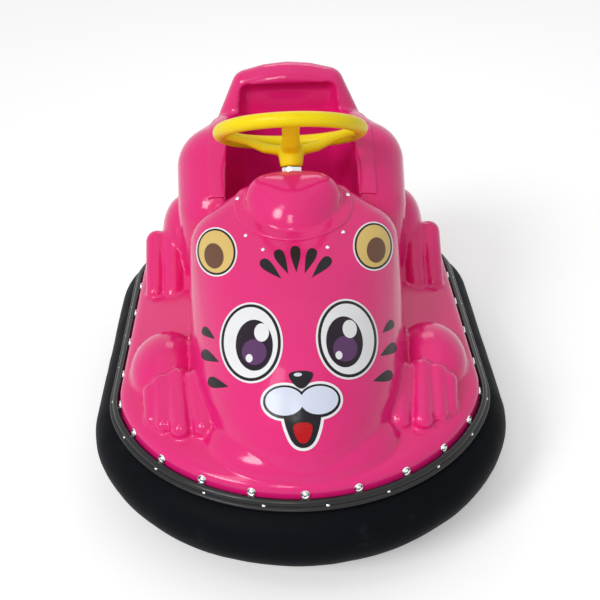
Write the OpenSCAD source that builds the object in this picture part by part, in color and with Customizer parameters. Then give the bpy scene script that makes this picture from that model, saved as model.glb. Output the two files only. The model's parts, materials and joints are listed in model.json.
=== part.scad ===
// Child's bumper car with a moulded animal body, a rubber bumper ring and a swivelling drive wheel.
// The front faces -Y, +X is the car's left-hand side as its driver sits, and z = 0 is the floor.

/* [Overall] */
// Length over the bumper
car_length = 1220; // [1180:10:1300]
// Width over the bumper
car_width = 950; // [910:10:1000]
// Half angle of the front arc of the outline
front_turn = 66; // [58:1:72]
// Radius of the front corners of the outline
front_corner = 317; // [290:1:330]
// Half angle of the rear arc of the outline
rear_turn = 35.7; // [30:0.1:42]
// Radius of the rear corners of the outline
rear_corner = 230; // [200:5:260]

/* [Bumper] */
// Diameter of the rubber tube
tube_d = 160; // [140:2:170]
// Height of the tube's underside over the floor
tube_clear = 60; // [50:2:80]
// Depth of the flat on the tube's inner side
tube_flat = 4; // [3:0.5:6]
// Thickness of the steel rim that holds the tube
rim_plate = 5; // [3:0.5:8]
// Reach of the rim's upper lip beyond the top of the tube
rim_reach = 28; // [20:1:34]
// Width of the rim's lower lip
rim_foot = 50; // [30:1:60]
// Width of the black strip that trims the rim's edge
strip_w = 23; // [20:1:26]
// Height of the black strip over the rim's upper lip
strip_h = 11; // [8:0.5:14]

/* [Shell] */
// Wall thickness of the moulded shells
shell_wall = 5; // [4:0.5:6]
// Inset of the shell's edge from the car's outline
edge_inset = 66; // [64:0.5:70]
// Height of the shell's edge from the rim's lip to the deck's shoulder
edge_h = 40; // [34:1:46]
// Rise of the deck from its shoulder to the middle
deck_rise = 26; // [15:1:35]

/* [Head] */
// Half width of the head
head_rx = 252; // [235:1:265]
// Half length of the head
head_ry = 408; // [390:1:420]
// Height of the forehead over the floor
head_top = 532; // [515:1:545]
// Distance of the head's middle from the car's front end
head_set = 490; // [470:1:510]
// Radius of the shoulders behind the ears
shoulder_r = 105; // [90:1:112]
// Distance of each shoulder's centre from the middle
shoulder_x = 142; // [130:1:150]
// Height of the shoulders' tops over the floor
shoulder_top = 562; // [545:1:575]
// Radius of the two crowns beside the cowl
crown_r = 55; // [48:1:60]
// Distance of each crown's centre from the middle
crown_x = 95; // [88:1:102]
// Height of the crowns' tops over the floor
crown_top = 590; // [580:1:598]
// Half width of the chin
chin_rx = 205; // [190:1:215]
// Half length of the chin
chin_ry = 136; // [125:1:145]
// Half height of the chin
chin_rz = 76; // [66:1:84]
// Distance of the chin's middle from the car's front end
chin_set = 215; // [205:1:225]
// Radius of the round cowl over the steering column
cowl_r = 115; // [108:1:122]
// Height of the cowl's top over the floor
cowl_top = 644; // [636:1:655]
// Radius of the cowl's two upper corners
cowl_corner = 58; // [50:1:64]
// Distance of those corners' centres from the middle
cowl_side = 52; // [44:1:58]
// Width of the flat lip round the cowl
cowl_lip = 22; // [14:1:30]

/* [Rear body] */
// Half width of the round rear body
barrel_w = 290; // [280:1:300]
// Height of the rear body over the floor
barrel_top = 640; // [620:1:655]
// Radius of the rear body's upper edge
barrel_r = 108; // [95:1:115]
// Drop of the rear body's upper edge towards the front
barrel_drop = 70; // [50:1:90]
// Distance of the rear body's back from the car's rear end
barrel_back = 100; // [96:1:110]

/* [Cockpit] */
// Distance of the cockpit's front edge from the car's rear end
cockpit_set = 480; // [465:1:490]
// Length of the cockpit opening
cockpit_l = 315; // [290:1:325]
// Half width of the cockpit opening
cockpit_w = 165; // [150:1:172]
// Width of the seat moulding's lip over the rear body
seat_lip = 40; // [30:1:46]
// Height of the seat pan over the floor
seat_h = 360; // [340:5:380]
// Depth of the seat pan
seat_depth = 225; // [200:5:240]
// Height of the seat back's top over the floor
back_top = 752; // [730:1:770]
// Distance of the seat back's middle from the car's rear end
back_set = 126; // [122:1:132]
// Thickness of the seat back at its top
back_t = 80; // [64:1:90]
// Half width of the seat back at its top
back_w_top = 146; // [135:1:160]
// Half width of the seat back where it leaves the rear body
back_w_low = 205; // [190:1:215]
// Rise of the seat back's top edge from its corners to the middle
back_crown = 18; // [10:1:24]
// Depth of the recess in the seat back's front
back_recess = 26; // [16:1:34]

/* [Chassis] */
// Height of the floor plate's underside
floor_z = 100; // [96:1:110]
// Thickness of the floor plate
floor_t = 3; // [2:0.5:4]
// Width and height of the square frame tubes
frame_tube = 30; // [25:1:30]
// Wall of the square frame tubes
frame_wall = 2.5; // [2:0.5:4]
// Distance of the front cross tube from the drum
cross_front_gap = 22; // [20:1:40]
// Distance of the rear cross tube from the rear axle
cross_rear_gap = 133; // [126:1:143]
// Battery block, from side to side
battery_x = 270; // [220:5:290]
// Battery block, along the car
battery_y = 165; // [140:5:170]
// Battery block, height
battery_z = 205; // [180:5:220]
// Distance of the battery's middle from the car's rear end
battery_set = 285; // [280:1:290]

/* [Steering] */
// Outer diameter of the steering wheel
wheel_d = 360; // [330:5:380]
// Thickness of the steering wheel's rim
wheel_rim_d = 34; // [28:1:38]
// Height of the steering wheel's centre
wheel_z = 700; // [690:1:715]
// Distance of the steering wheel's centre behind the cockpit's front edge
wheel_set = 35; // [25:1:45]
// Lean of the steering column from upright
column_rake = 33; // [31:0.5:35]
// Distance from the rim's plane down to the hub's top
wheel_dish = 36; // [30:1:42]
// Length of the tapered hub
hub_l = 46; // [40:1:52]
// Diameter of the steering shaft
shaft_d = 20; // [16:1:22]
// Outer diameter of the column tube
column_d = 38; // [34:1:42]
// Outer diameter of the collar where the column leaves the cowl
collar_d = 50; // [44:1:54]
// Length of that collar
collar_h = 22; // [18:1:26]
// Wall of the column tube
column_wall = 3; // [2:0.5:4]
// Length of the column's bushes
bush_l = 22; // [16:1:26]
// Height of the steering box over the drum
box_h = 92; // [86:1:100]
// Radius of the steering box round the kingpin
box_r = 46; // [42:1:50]

/* [Drive unit] */
// Gap between the drum's flange and the steel rim in front of it
drum_front = 34.7; // [25:0.1:40]
// Diameter of the drive tyre
drive_d = 200; // [190:2:200]
// Width of the drive tyre
drive_w = 60; // [50:1:64]
// Outer radius of the drum over the drive unit
drum_r = 168; // [166:1:172]
// Distance of the long frame tubes' middles from the drum
drum_gap = 24; // [22:1:28]
// Width of the drum's flange
drum_flange = 16; // [12:1:20]
// Wall of the drum
drum_wall = 3; // [2:0.5:4]
// Height of the drum's top over the floor
drum_top = 228; // [226:1:234]
// Diameter of the kingpin
kingpin_d = 28; // [24:1:32]
// Thickness of the fork's plates
fork_t = 8; // [6:1:10]
// Width of the fork's legs
fork_w = 60; // [50:1:70]
// Diameter of the axles
axle_d = 16; // [12:1:18]
// Diameter of the drive motor
motor_d = 88; // [76:2:90]
// Gap between the motor's end and the drum's wall
motor_room = 24.7; // [22:0.1:36]

/* [Rear wheels] */
// Diameter of the rear tyres
rear_d = 150; // [140:2:156]
// Width of the rear tyres
rear_w = 40; // [34:1:44]
// Distance of each rear wheel from the middle of the long frame tube beside it
rear_out = 64; // [60:1:70]
// Distance of the rear axle from the car's rear end
rear_set = 352; // [348:1:360]
// Thickness of the rear brackets' ears
ear_t = 6; // [4:0.5:8]

/* [Pedal] */
// Distance of the pedal to the right of the middle
pedal_x = 95; // [85:1:105]
// Distance of the pedal's pivot from the drum
pedal_gap = 84; // [80:1:92]
// Height of the pedal's pivot over the floor plate
pedal_pivot = 26; // [24:1:30]
// Diameter of the pedal's pin
pedal_pin = 8; // [6:1:10]
// Width of the pedal plate
pedal_w = 70; // [60:1:80]
// Length of the pedal plate
pedal_l = 120; // [100:5:130]
// Slope of the pedal plate
pedal_slope = 38; // [30:1:45]

/* [Hidden] */
$fn = 64;

seat_gap = 0.3;      // gap between pieces that seat on each other
run_gap = 0.05;      // radial clearance of a shaft in its bore
cut_over = 10;       // how far a cutting solid runs past what it cuts
soft_fn = 24;        // roundness of the moulded shells' outer forms
inner_fn = 15;       // roundness of their inner forms
tube_sides = 20;     // sides of the bumper tube's section
front_steps = 22;    // steps along the outline's front arc
rear_steps = 14;     // steps along its rear arc
groove_d = 11;       // extra depth of a paw's hollow, for the grooves between its digits
draft = 5;           // how much the rear body widens down to the deck
recess_r = 22;       // radius of the seat recess's corners
ear_gap = 5;         // room between a rear rim and its bracket's ears
leg_gap = 10;        // room between the drive tyre and the fork's legs

half_w = car_width / 2;
half_l = car_length / 2;
front_radius = front_corner + (half_w - front_corner) / sin(front_turn);
rear_radius = rear_corner + (half_w - rear_corner) / sin(rear_turn);
front_c = -half_l + front_radius;
rear_c = half_l - rear_radius;
front_corner_c = [half_w - front_corner, front_c - (front_radius - front_corner) * cos(front_turn)];
rear_corner_c = [half_w - rear_corner, rear_c + (rear_radius - rear_corner) * cos(rear_turn)];

// Arcs of the outline, anticlockwise from the front left: centre x, centre y, radius, start, sweep, steps
ARCS = [
    [0, front_c, front_radius, -90 - front_turn, 2 * front_turn, front_steps],
    [front_corner_c.x, front_corner_c.y, front_corner, -90 + front_turn, 90 - front_turn, 4],
    [rear_corner_c.x, rear_corner_c.y, rear_corner, 0, 90 - rear_turn, 8],
    [0, rear_c, rear_radius, 90 - rear_turn, 2 * rear_turn, rear_steps],
    [-rear_corner_c.x, rear_corner_c.y, rear_corner, 90 + rear_turn, 90 - rear_turn, 8],
    [-front_corner_c.x, front_corner_c.y, front_corner, 180, 90 - front_turn, 4]
];

tube_r = tube_d / 2;
tube_z = tube_clear + tube_r;
web_out = tube_d - tube_flat + seat_gap;          // inset of the rim web's outer face
web_in = web_out + rim_plate;                     // inset of the rim web's inner face
lip_z = tube_clear + tube_d + 0.5;                // underside of the rim's upper lip
lip_top = lip_z + rim_plate;
shell_z = lip_top + seat_gap;                     // underside of the body shell's edge
deck_z = shell_z + edge_h;
floor_top = floor_z + floor_t;

cockpit_front = half_l - cockpit_set;
head_y = head_set - half_l;
back_y = half_l - back_set;
battery_pos = half_l - battery_set;
rail_x = drum_r + drum_gap;
rear_x = rail_x + rear_out;
rear_y = half_l - rear_set;
drive_y = -half_l + web_in + drum_front + drum_flange + drum_r;
motor_x = drive_w / 2 + leg_gap + fork_t + seat_gap;   // the motor's end at the fork
motor_l = drum_r - drum_wall - motor_x - motor_room;
cross_front_y = drive_y + drum_r + cross_front_gap;
cross_rear_y = rear_y - cross_rear_gap;
pedal_y = drive_y + drum_r + pedal_gap;
pan_front = cockpit_front + cockpit_l - seat_depth;
foot_front = pedal_y + 38;                        // front edge of the footwell's floor
wheel_y = cockpit_front + wheel_set;
column_top = -wheel_dish - hub_l - 6;             // end of the column tube, from the wheel's plane
column_foot = drum_top + 66;                      // height of the column's lower end
column_len = (wheel_z - column_foot) / cos(column_rake);
column_foot_y = wheel_y - column_len * sin(column_rake);
head_rz = head_top - 255;
cowl_y = cockpit_front - 80;

// Stations along the outline: centre x, centre y, radius, angle. The second and the fifth arc end at a
// straight side, and each other arc ends where the next one starts.
STATIONS = [for (k = [0 : 5]) let (a = ARCS[k])
    for (i = [0 : a[5] - (k % 3 == 1 ? 0 : 1)]) [a[0], a[1], a[2], a[3] + a[4] * i / a[5]]];

// Point of a station moved inwards by an inset, and the outline through all of them
function at_station(s, inset) = [s[0] + (s[2] - inset) * cos(s[3]), s[1] + (s[2] - inset) * sin(s[3])];
function outline(inset) = [for (s = STATIONS) at_station(s, inset)];

// Most that a chord of the outline lies inside its arc
chord_gap = front_radius * (1 - cos(front_turn / front_steps));

// Where the outline, moved inwards, crosses a given distance from the middle
function front_at(x, inset) = let (r = front_radius - inset)
    x < r * sin(front_turn) ? front_c - sqrt(r * r - x * x)
    : front_corner_c.y - sqrt(pow(front_corner - inset, 2) - pow(x - front_corner_c.x, 2));
function rear_at(x, inset) = let (r = rear_radius - inset)
    x < r * sin(rear_turn) ? rear_c + sqrt(r * r - x * x)
    : rear_corner_c.y + sqrt(pow(rear_corner - inset, 2) - pow(x - rear_corner_c.x, 2));

// Sweeps a section round the outline; x = 0 in the section is the outline, and x < 0 is inside it.
// The section's points run anticlockwise.
module ring_sweep(section) {
    m = len(section);
    count = len(STATIONS);
    polyhedron(
        points = [for (s = STATIONS) for (p = section) [each at_station(s, -p.x), p.y]],
        faces = [for (i = [0 : count - 1]) for (k = [0 : m - 1])
            let (j = (i + 1) % count, n = (k + 1) % m) [i * m + k, i * m + n, j * m + n, j * m + k]]
    );
}

// A flat ring between two insets from the outline
module ring_plate(outer, inner, z, h) {
    translate([0, 0, z]) linear_extrude(h)
        difference() {
            polygon(outline(outer));
            polygon(outline(inner));
        }
}

module both_sides() {
    children();
    mirror([1, 0, 0]) children();
}

module on_column(d) {
    translate([0, wheel_y, wheel_z]) rotate([-column_rake, 0, 0]) translate([0, 0, d]) children();
}

// Roundness of a moulded form of radius r at a distance t inside its outer surface
function form_fn(r, t) = (r < 45 ? 2 / 3 : 1) * (t > 0 ? inner_fn : soft_fn);

// An ellipsoid from its centre and its three radii, t inside its outer surface
module egg(c, r, t) {
    translate(c) scale([(r.x - t) / (r.z - t), (r.y - t) / (r.z - t), 1])
        sphere(r.z - t, $fn = form_fn(r.z, t));
}

// A ball from its centre and its radius, t inside its outer surface
module ball(c, r, t) {
    translate(c) sphere(r - t, $fn = form_fn(r, t));
}

// Forms of the moulded body. Each takes t, the distance inside the outer surface.

module deck_form(t) {
    rows = [[0, 0], [0.5, 0.25], [5, 0.58], [17, 0.84], [38, 0.97], [60, 1]];
    hull() {
        for (row = rows)
            translate([0, 0, shell_z + edge_h * row[1] - t - (row[1] == 0 && t > 0 ? cut_over : 0)])
                linear_extrude(0.01) polygon(outline(edge_inset + row[0] + t));
        translate([0, 0, deck_z + deck_rise - t - 0.01])
            linear_extrude(0.01) polygon(outline(edge_inset + 180 + t));
    }
}

module head_form(t) {
    hull() {
        egg([0, head_y, 255], [head_rx, head_ry, head_rz], t);
        for (sx = [-1, 1]) {
            ball([sx * shoulder_x, cowl_y - 2, shoulder_top - shoulder_r], shoulder_r, t);
            ball([sx * crown_x, cockpit_front - 40, crown_top - crown_r], crown_r, t);
            ball([sx * (shoulder_x + 10), cockpit_front + 30, deck_z + 40], shoulder_r, t);
        }
    }
    hull() egg([0, chin_set - half_l, deck_z - 4], [chin_rx, chin_ry, chin_rz], t);
}

module barrel_form(t) {
    r = barrel_r;
    front_y = cockpit_front + r + 2;
    back_y = half_l - barrel_back - r;
    hull()
        for (sx = [-1, 1])
            // x, y, z and extra radius: the foot is wider than the top by the mould's draft
            for (p = [[barrel_w - r - 3, front_y, barrel_top - r - barrel_drop, 0],
                      [barrel_w - r - 3, front_y, deck_z, draft],
                      [barrel_w - r, front_y + 92, barrel_top - r, 0],
                      [barrel_w - r, front_y + 92, deck_z + 5, draft],
                      [barrel_w - r - 40, back_y, barrel_top - r - 2, 0],
                      [barrel_w - r - 40, back_y, deck_z, draft]])
                ball([sx * p.x, p.y, p.z], r + p[3], t);
}

// Fingers and toes, from the outermost: distances of the tip from the car's side and from its front or
// rear end, its height over the deck's shoulder and its radius, then the same of the knuckle
FINGERS = [[158, 275, 6, 20, 155, 348, 26, 24], [185, 254, 9, 23, 176, 370, 36, 27],
           [223, 234, 12, 27, 208, 385, 42, 31], [271, 235, 14, 30, 252, 370, 42, 33]];
TOES = [[117, 445, 2, 28, 118, 325, 83, 30], [164, 450, 2, 30, 162, 325, 91, 33],
        [209, 440, 2, 28, 207, 320, 89, 30]];

// One finger or toe from its row; end is -1 at the front and 1 at the rear
module digit(row, end, t) {
    for (p = [[row[0], row[1], row[2], row[3]], [row[4], row[5], row[6], row[7]]])
        ball([half_w - p[0], end * (half_l - p[1]), deck_z + p[2]], p[3], t);
}

// All digits of one paw: each is a form of its own outside, and inside they share one hollow
module digits(rows, end, t) {
    if (t > 0) hull() for (row = rows) digit(row, end, t + groove_d);
    else for (row = rows) hull() digit(row, end, t);
}

// Front paws: one round forearm and four fingers; hind paws: one thigh and three toes
module paws_form(t) {
    both_sides() {
        hull() egg([half_w - 173, 452 - half_l, deck_z - 4], [84, 112, 80], t);
        digits(FINGERS, -1, t);
        hull() egg([half_w - 191, half_l - 275, deck_z + 79], [62, 105, 100], t);
        digits(TOES, 1, t);
    }
}

module body_form(t) {
    deck_form(t);
    head_form(t);
    barrel_form(t);
    paws_form(t);
}

module cowl_form(t) {
    hull() {
        ball([0, cowl_y, cowl_top - cowl_r], cowl_r, t);
        for (sx = [-1, 1]) ball([sx * cowl_side, cowl_y, cowl_top - cowl_corner], cowl_corner, t);
        ball([0, cockpit_front + 10, cowl_top - cowl_r - 30], cowl_r - 6, t);
    }
}

// The cockpit's opening as an upright prism, made smaller by t
module cockpit_form(t, z0, z1) {
    translate([0, 0, z0]) linear_extrude(z1 - z0)
        hull() {
            for (sx = [-1, 1]) {
                translate([sx * (cockpit_w - 40), cockpit_front + 40]) circle(40 - t, $fn = 32);
                translate([sx * (cockpit_w - 95), cockpit_front + cockpit_l - 90]) circle(90 - t, $fn = 48);
            }
        }
}

module body_shell() {
    color([0.94, 0.22, 0.52])
    difference() {
        body_form(0);
        body_form(shell_wall);
        translate([-half_w, -half_l, -shell_z]) cube([car_width, car_length, 2 * shell_z]);
        cockpit_form(0, shell_z - cut_over, barrel_top + 100);
        back_recess_form(-shell_wall - seat_gap);
        translate([0, cowl_y, head_top - 80]) cylinder(h = 200, r = cowl_r - 22);
    }
}

module column_cowl() {
    color([0.94, 0.22, 0.52])
    difference() {
        union() {
            cowl_form(0);
            intersection() {
                head_form(-seat_gap - 4);
                translate([0, cowl_y, head_top - 120]) cylinder(h = 200, r = cowl_r + cowl_lip);
            }
        }
        cowl_form(4);
        head_form(-seat_gap);
        translate([-half_w, cockpit_front - 4, 0]) cube([car_width, 300, 800]);
        on_column(-wheel_dish - hub_l - 60) cylinder(h = 80, d = collar_d + 2 * seat_gap);
    }
}

// Outer form of the seat back, t inside its outer surface; its foot reaches down by a given distance
module back_form(t, down) {
    r = back_t / 2;
    hull() {
        for (k = [-1 : 0.5 : 1])
            ball([k * (back_w_top - r), back_y, back_top - r - back_crown * k * k], r, t);
        for (sx = [-1, 1])
            ball([sx * (back_w_low - 45), back_y - 12, barrel_top - 75 - down], 45, t);
    }
}

// Hollow of the backrest: it leaves the cockpit's rear wall at the pan and leans back up to the top
module back_recess_form(t) {
    front_y = back_y - back_t / 2;
    wall_y = cockpit_front + cockpit_l - shell_wall - seat_gap;
    hull()
        for (sx = [-1, 1])
            for (p = [[back_w_top - 46, front_y + back_recess - recess_r, back_top - 66],
                      [cockpit_w - 57, wall_y - recess_r, seat_h + 40],
                      [back_w_top - 14, front_y - 60, back_top - 58],
                      [cockpit_w - 44, wall_y - 64, seat_h + 40]])
                ball([sx * p.x, p.y, p.z], recess_r, t);
}

// The seat moulding's outside as far as the seat covers the rear body
module under_lip_form() {
    intersection() {
        barrel_form(-seat_gap - 4);
        cockpit_form(-seat_lip, seat_h, barrel_top + 100);
    }
}

module seat_shell() {
    pan_low = floor_top + seat_gap;
    color([0.9, 0.18, 0.48])
    difference() {
        union() {
            // liner, seat pan and the drop in front of it
            intersection() {
                difference() {
                    cockpit_form(seat_gap, pan_low, barrel_top + 20);
                    difference() {
                        cockpit_form(seat_gap + shell_wall, 0, barrel_top + 100);
                        translate([-half_w, pan_front, seat_h - shell_wall])
                            cube([car_width, half_l, shell_wall]);
                        translate([-half_w, pan_front, 0]) cube([car_width, shell_wall, seat_h - 1]);
                    }
                    translate([-half_w, pan_front + shell_wall, 0])
                        cube([car_width, half_l, seat_h - shell_wall]);
                }
                union() {
                    body_form(-seat_gap - 4);
                    translate([-half_w, 0, 0]) cube([car_width, half_l, deck_z]);
                }
            }
            // floor of the footwell, which runs forward from the drop
            translate([0, 0, pan_low]) linear_extrude(shell_wall)
                hull() {
                    for (sx = [-1, 1]) {
                        translate([sx * (cockpit_w - 50), foot_front + 29]) circle(30, $fn = 32);
                        translate([sx * (cockpit_w - 40), cockpit_front + 40]) circle(38, $fn = 32);
                    }
                    translate([2 - cockpit_w, pan_front]) square([2 * cockpit_w - 4, shell_wall]);
                }
            // lip over the rear body
            difference() {
                under_lip_form();
                body_form(-seat_gap);
            }
            // seat back, and the wall behind its recess
            difference() {
                back_form(0, 0);
                back_form(shell_wall, 100);
                body_form(-seat_gap);
            }
            intersection() {
                back_recess_form(-shell_wall);
                union() {
                    back_form(0, 0);
                    under_lip_form();
                }
            }
        }
        cockpit_form(seat_gap + shell_wall, seat_h, back_top);
        difference() {
            back_recess_form(0);
            translate([-half_w, 0, 0]) cube([car_width, half_l, seat_h]);
        }
        translate([-half_w, 0, pan_low + shell_wall]) cube([car_width, cockpit_front + 26, back_top]);
        translate([-half_w, -half_l, 0]) cube([car_width, half_l + foot_front, seat_h - 2 * shell_wall]);
    }
}

module bumper_tube() {
    color([0.16, 0.17, 0.19])
    ring_sweep([for (i = [0 : tube_sides - 1]) if (i != tube_sides / 2)
        let (t = 360 * i / tube_sides)
        [max(-tube_r + tube_r * cos(t), -tube_d + tube_flat), tube_z + tube_r * sin(t)]]);
}

module bumper_rim() {
    foot_z = tube_clear - seat_gap - rim_plate;
    color([0.25, 0.26, 0.28]) {
        ring_plate(web_in - rim_foot, web_in, foot_z, rim_plate);
        ring_plate(web_out, web_in, foot_z + rim_plate, lip_z - foot_z - rim_plate);
        ring_plate(tube_r - rim_reach, web_in, lip_z, rim_plate);
    }
}

module bumper_strip() {
    edge = -tube_r + rim_reach + seat_gap;
    inner = -edge_inset + seat_gap;
    outer = inner + strip_w;
    base = lip_top + seat_gap;
    color([0.09, 0.09, 0.1])
    ring_sweep([
        [inner, base], [edge, base], [edge, lip_z - 3], [outer - 2, lip_z - 3],
        [outer, lip_z + 2], [inner + 7, base + strip_h], [inner, base + strip_h]
    ]);
}

module square_tube(l) {
    rotate([-90, 0, 0]) linear_extrude(l)
        difference() {
            square(frame_tube, center = true);
            square(frame_tube - 2 * frame_wall, center = true);
        }
}

module frame_rail(side) {
    zc = floor_z - seat_gap - frame_tube / 2;
    reach = rail_x + frame_tube / 2;
    inset = web_in + seat_gap + chord_gap;
    front = front_at(reach, inset);
    color([0.2, 0.21, 0.23])
    translate([side * rail_x, front, zc])
        square_tube(rear_at(reach, inset) - front);
}

// One cross tube between the long tubes and an outrigger on each side of them
module frame_cross(y) {
    zc = floor_z - seat_gap - frame_tube / 2;
    inner = rail_x - frame_tube / 2;
    outer = rail_x + frame_tube / 2;
    side = half_w - web_in - seat_gap;
    color([0.2, 0.21, 0.23]) {
        translate([-inner, y, zc]) rotate([0, 0, -90]) square_tube(2 * inner);
        for (x = [-side, outer])
            translate([x, y, zc]) rotate([0, 0, -90]) square_tube(side - outer);
    }
}

module floor_plate() {
    color([0.3, 0.31, 0.33])
    difference() {
        translate([0, 0, floor_z]) linear_extrude(floor_t) polygon(outline(web_in + seat_gap));
        translate([0, drive_y, 0]) cylinder(h = 200, r = drum_r - 8);
        both_sides()
            translate([rear_x - rear_w / 2 - 8, rear_y - rear_d / 2 - 8, 0])
                cube([rear_w + 16, rear_d + 16, 200]);
    }
}

module battery_block() {
    color([0.12, 0.12, 0.13])
    translate([-battery_x / 2, battery_pos - battery_y / 2, floor_top + seat_gap])
        cube([battery_x, battery_y, battery_z]);
}

module column_collar() {
    color([0.75, 0.76, 0.78])
    on_column(column_top - collar_h + 3)
        difference() {
            cylinder(h = collar_h, d = collar_d);
            translate([0, 0, -1]) cylinder(h = collar_h + 2, d = column_d + 2 * run_gap);
        }
}

module column_tube() {
    color([0.2, 0.2, 0.22])
    on_column(-column_len + 62)
        difference() {
            cylinder(h = column_len - 62 + column_top, d = column_d);
            translate([0, 0, -1]) cylinder(h = column_len, d = column_d - 2 * column_wall);
        }
}

module column_bushes() {
    color([0.85, 0.85, 0.82])
    for (d = [column_top - bush_l - 2, -column_len + 50 + bush_l])
        on_column(d)
            difference() {
                cylinder(h = bush_l, d = column_d - 2 * column_wall - 2 * run_gap);
                translate([0, 0, -1]) cylinder(h = 30, d = shaft_d + 2 * run_gap);
            }
}

module steering_box() {
    color([0.35, 0.36, 0.38])
    difference() {
        union() {
            translate([0, 0, drum_top + seat_gap]) linear_extrude(box_h)
                hull() {
                    translate([0, drive_y]) circle(box_r);
                    translate([0, column_foot_y]) circle(40);
                }
            on_column(-column_len) cylinder(h = 61.7, r = 30);
        }
        on_column(-column_len + 24) cylinder(h = 60, d = shaft_d + 6);
        translate([0, drive_y, drum_top - 1]) cylinder(h = 27, r = kingpin_d / 2 + 9);
    }
}

module steering_shaft() {
    color([0.7, 0.71, 0.73])
    on_column(-column_len + 30)
        cylinder(h = column_len - 30 - wheel_dish - 3, d = shaft_d);
}

// One spoke: a side profile from the hub up to the rim, given a width
module spoke(w, turn) {
    reach = (wheel_d - wheel_rim_d) / 2;
    rotate([0, 0, turn]) rotate([90, 0, 0]) translate([0, 0, -w / 2])
        linear_extrude(w)
            polygon([
                [20, -wheel_dish - 20], [20, -wheel_dish], [34, -wheel_dish], [64, -wheel_dish + 6],
                [reach - 28, 1], [reach - 4, 9], [reach + 6, -7], [reach - 22, -14], [60, -wheel_dish - 12]
            ]);
}

module steering_wheel() {
    color([0.98, 0.83, 0.05])
    on_column(0)
        difference() {
            union() {
                rotate_extrude($fn = 96)
                    translate([(wheel_d - wheel_rim_d) / 2, 0]) circle(wheel_rim_d / 2, $fn = 48);
                spoke(32, 0);
                spoke(32, 180);
                spoke(46, -90);
                translate([0, 0, -wheel_dish - hub_l]) cylinder(h = hub_l, r1 = 26, r2 = 32);
            }
            translate([0, 0, -wheel_dish - hub_l - 1]) cylinder(h = hub_l + 60, d = shaft_d + 2 * run_gap);
            translate([0, 0, -wheel_dish - 14]) cylinder(h = 60, r = 22);
        }
}

module wheel_nut() {
    color([0.75, 0.76, 0.78])
    on_column(-wheel_dish - 13.7)
        difference() {
            cylinder(h = 10, d = 34, $fn = 6);
            translate([0, 0, -1]) cylinder(h = 20, d = shaft_d + 2 * run_gap);
        }
}

module wheel_cap() {
    color([0.95, 0.75, 0.04])
    on_column(-wheel_dish + seat_gap)
        union() {
            cylinder(h = 4, r1 = 31, r2 = 29);
            translate([0, 0, -3]) cylinder(h = 4, r = 21.5);
        }
}

module drive_drum() {
    color([0.22, 0.23, 0.25])
    translate([0, drive_y, 0])
        difference() {
            union() {
                translate([0, 0, floor_top + seat_gap]) cylinder(h = 3, r = drum_r + drum_flange);
                translate([0, 0, floor_top + seat_gap]) cylinder(h = drum_top - floor_top - seat_gap, r = drum_r);
            }
            translate([0, 0, floor_top - 1]) cylinder(h = drum_top - floor_top - 5, r = drum_r - drum_wall);
            cylinder(h = drum_top + 10, d = kingpin_d + 12.6);
        }
}

module swivel_bearing() {
    color([0.6, 0.61, 0.63])
    translate([0, drive_y, 0])
        difference() {
            union() {
                translate([0, 0, drum_top - 14]) cylinder(h = 7.7, d = kingpin_d + 44);
                translate([0, 0, drum_top - 14]) cylinder(h = 18, d = kingpin_d + 12);
            }
            cylinder(h = drum_top + 20, d = kingpin_d + 2 * run_gap);
        }
}

module kingpin() {
    color([0.7, 0.71, 0.73])
    translate([0, drive_y, drum_top - 14 - seat_gap])
        cylinder(h = 32, d = kingpin_d);
}

module drive_fork() {
    top = drum_top - 14 - 2 * seat_gap;
    leg = drive_w / 2 + leg_gap;
    color([0.25, 0.26, 0.28])
    translate([0, drive_y, 0])
        difference() {
            union() {
                translate([-leg - fork_t, -fork_w / 2, top - fork_t]) cube([2 * (leg + fork_t), fork_w, fork_t]);
                for (x = [-leg - fork_t, leg])
                    translate([x, 0, 0]) {
                        translate([0, -fork_w / 2, drive_d / 2]) cube([fork_t, fork_w, top - drive_d / 2]);
                        translate([0, 0, drive_d / 2]) rotate([0, 90, 0]) cylinder(h = fork_t, d = fork_w);
                    }
            }
            translate([-100, 0, drive_d / 2]) rotate([0, 90, 0]) cylinder(h = 200, d = axle_d + 2 * run_gap);
        }
}

module drive_motor() {
    color([0.3, 0.31, 0.34])
    translate([0, drive_y, drive_d / 2]) rotate([0, 90, 0])
        difference() {
            union() {
                translate([0, 0, motor_x]) cylinder(h = motor_l - 12, d = motor_d);
                translate([0, 0, motor_x + motor_l - 12]) cylinder(h = 12, d = motor_d - 16);
            }
            translate([0, 0, motor_x - 1]) cylinder(h = 21, d = axle_d + 10);
        }
}

module drive_axle() {
    color([0.7, 0.71, 0.73])
    translate([-motor_x - 7.7, drive_y, drive_d / 2]) rotate([0, 90, 0])
        cylinder(h = 2 * motor_x + 21.4, d = axle_d);
}

// A wheel rim with a web and a hub, about the X axis
module wheel_rim(outer_d, w) {
    rotate([0, 90, 0]) rotate_extrude($fn = 72)
        polygon([
            [axle_d / 2 + run_gap, -w / 2 - 3], [axle_d / 2 + 9, -w / 2 - 3], [axle_d / 2 + 9, -4],
            [outer_d / 2 - 6, -4], [outer_d / 2 - 6, -w / 2 + 4], [outer_d / 2, -w / 2 + 4],
            [outer_d / 2, w / 2 - 4], [outer_d / 2 - 6, w / 2 - 4], [outer_d / 2 - 6, 4],
            [axle_d / 2 + 9, 4], [axle_d / 2 + 9, w / 2 + 3], [axle_d / 2 + run_gap, w / 2 + 3]
        ]);
}

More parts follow.
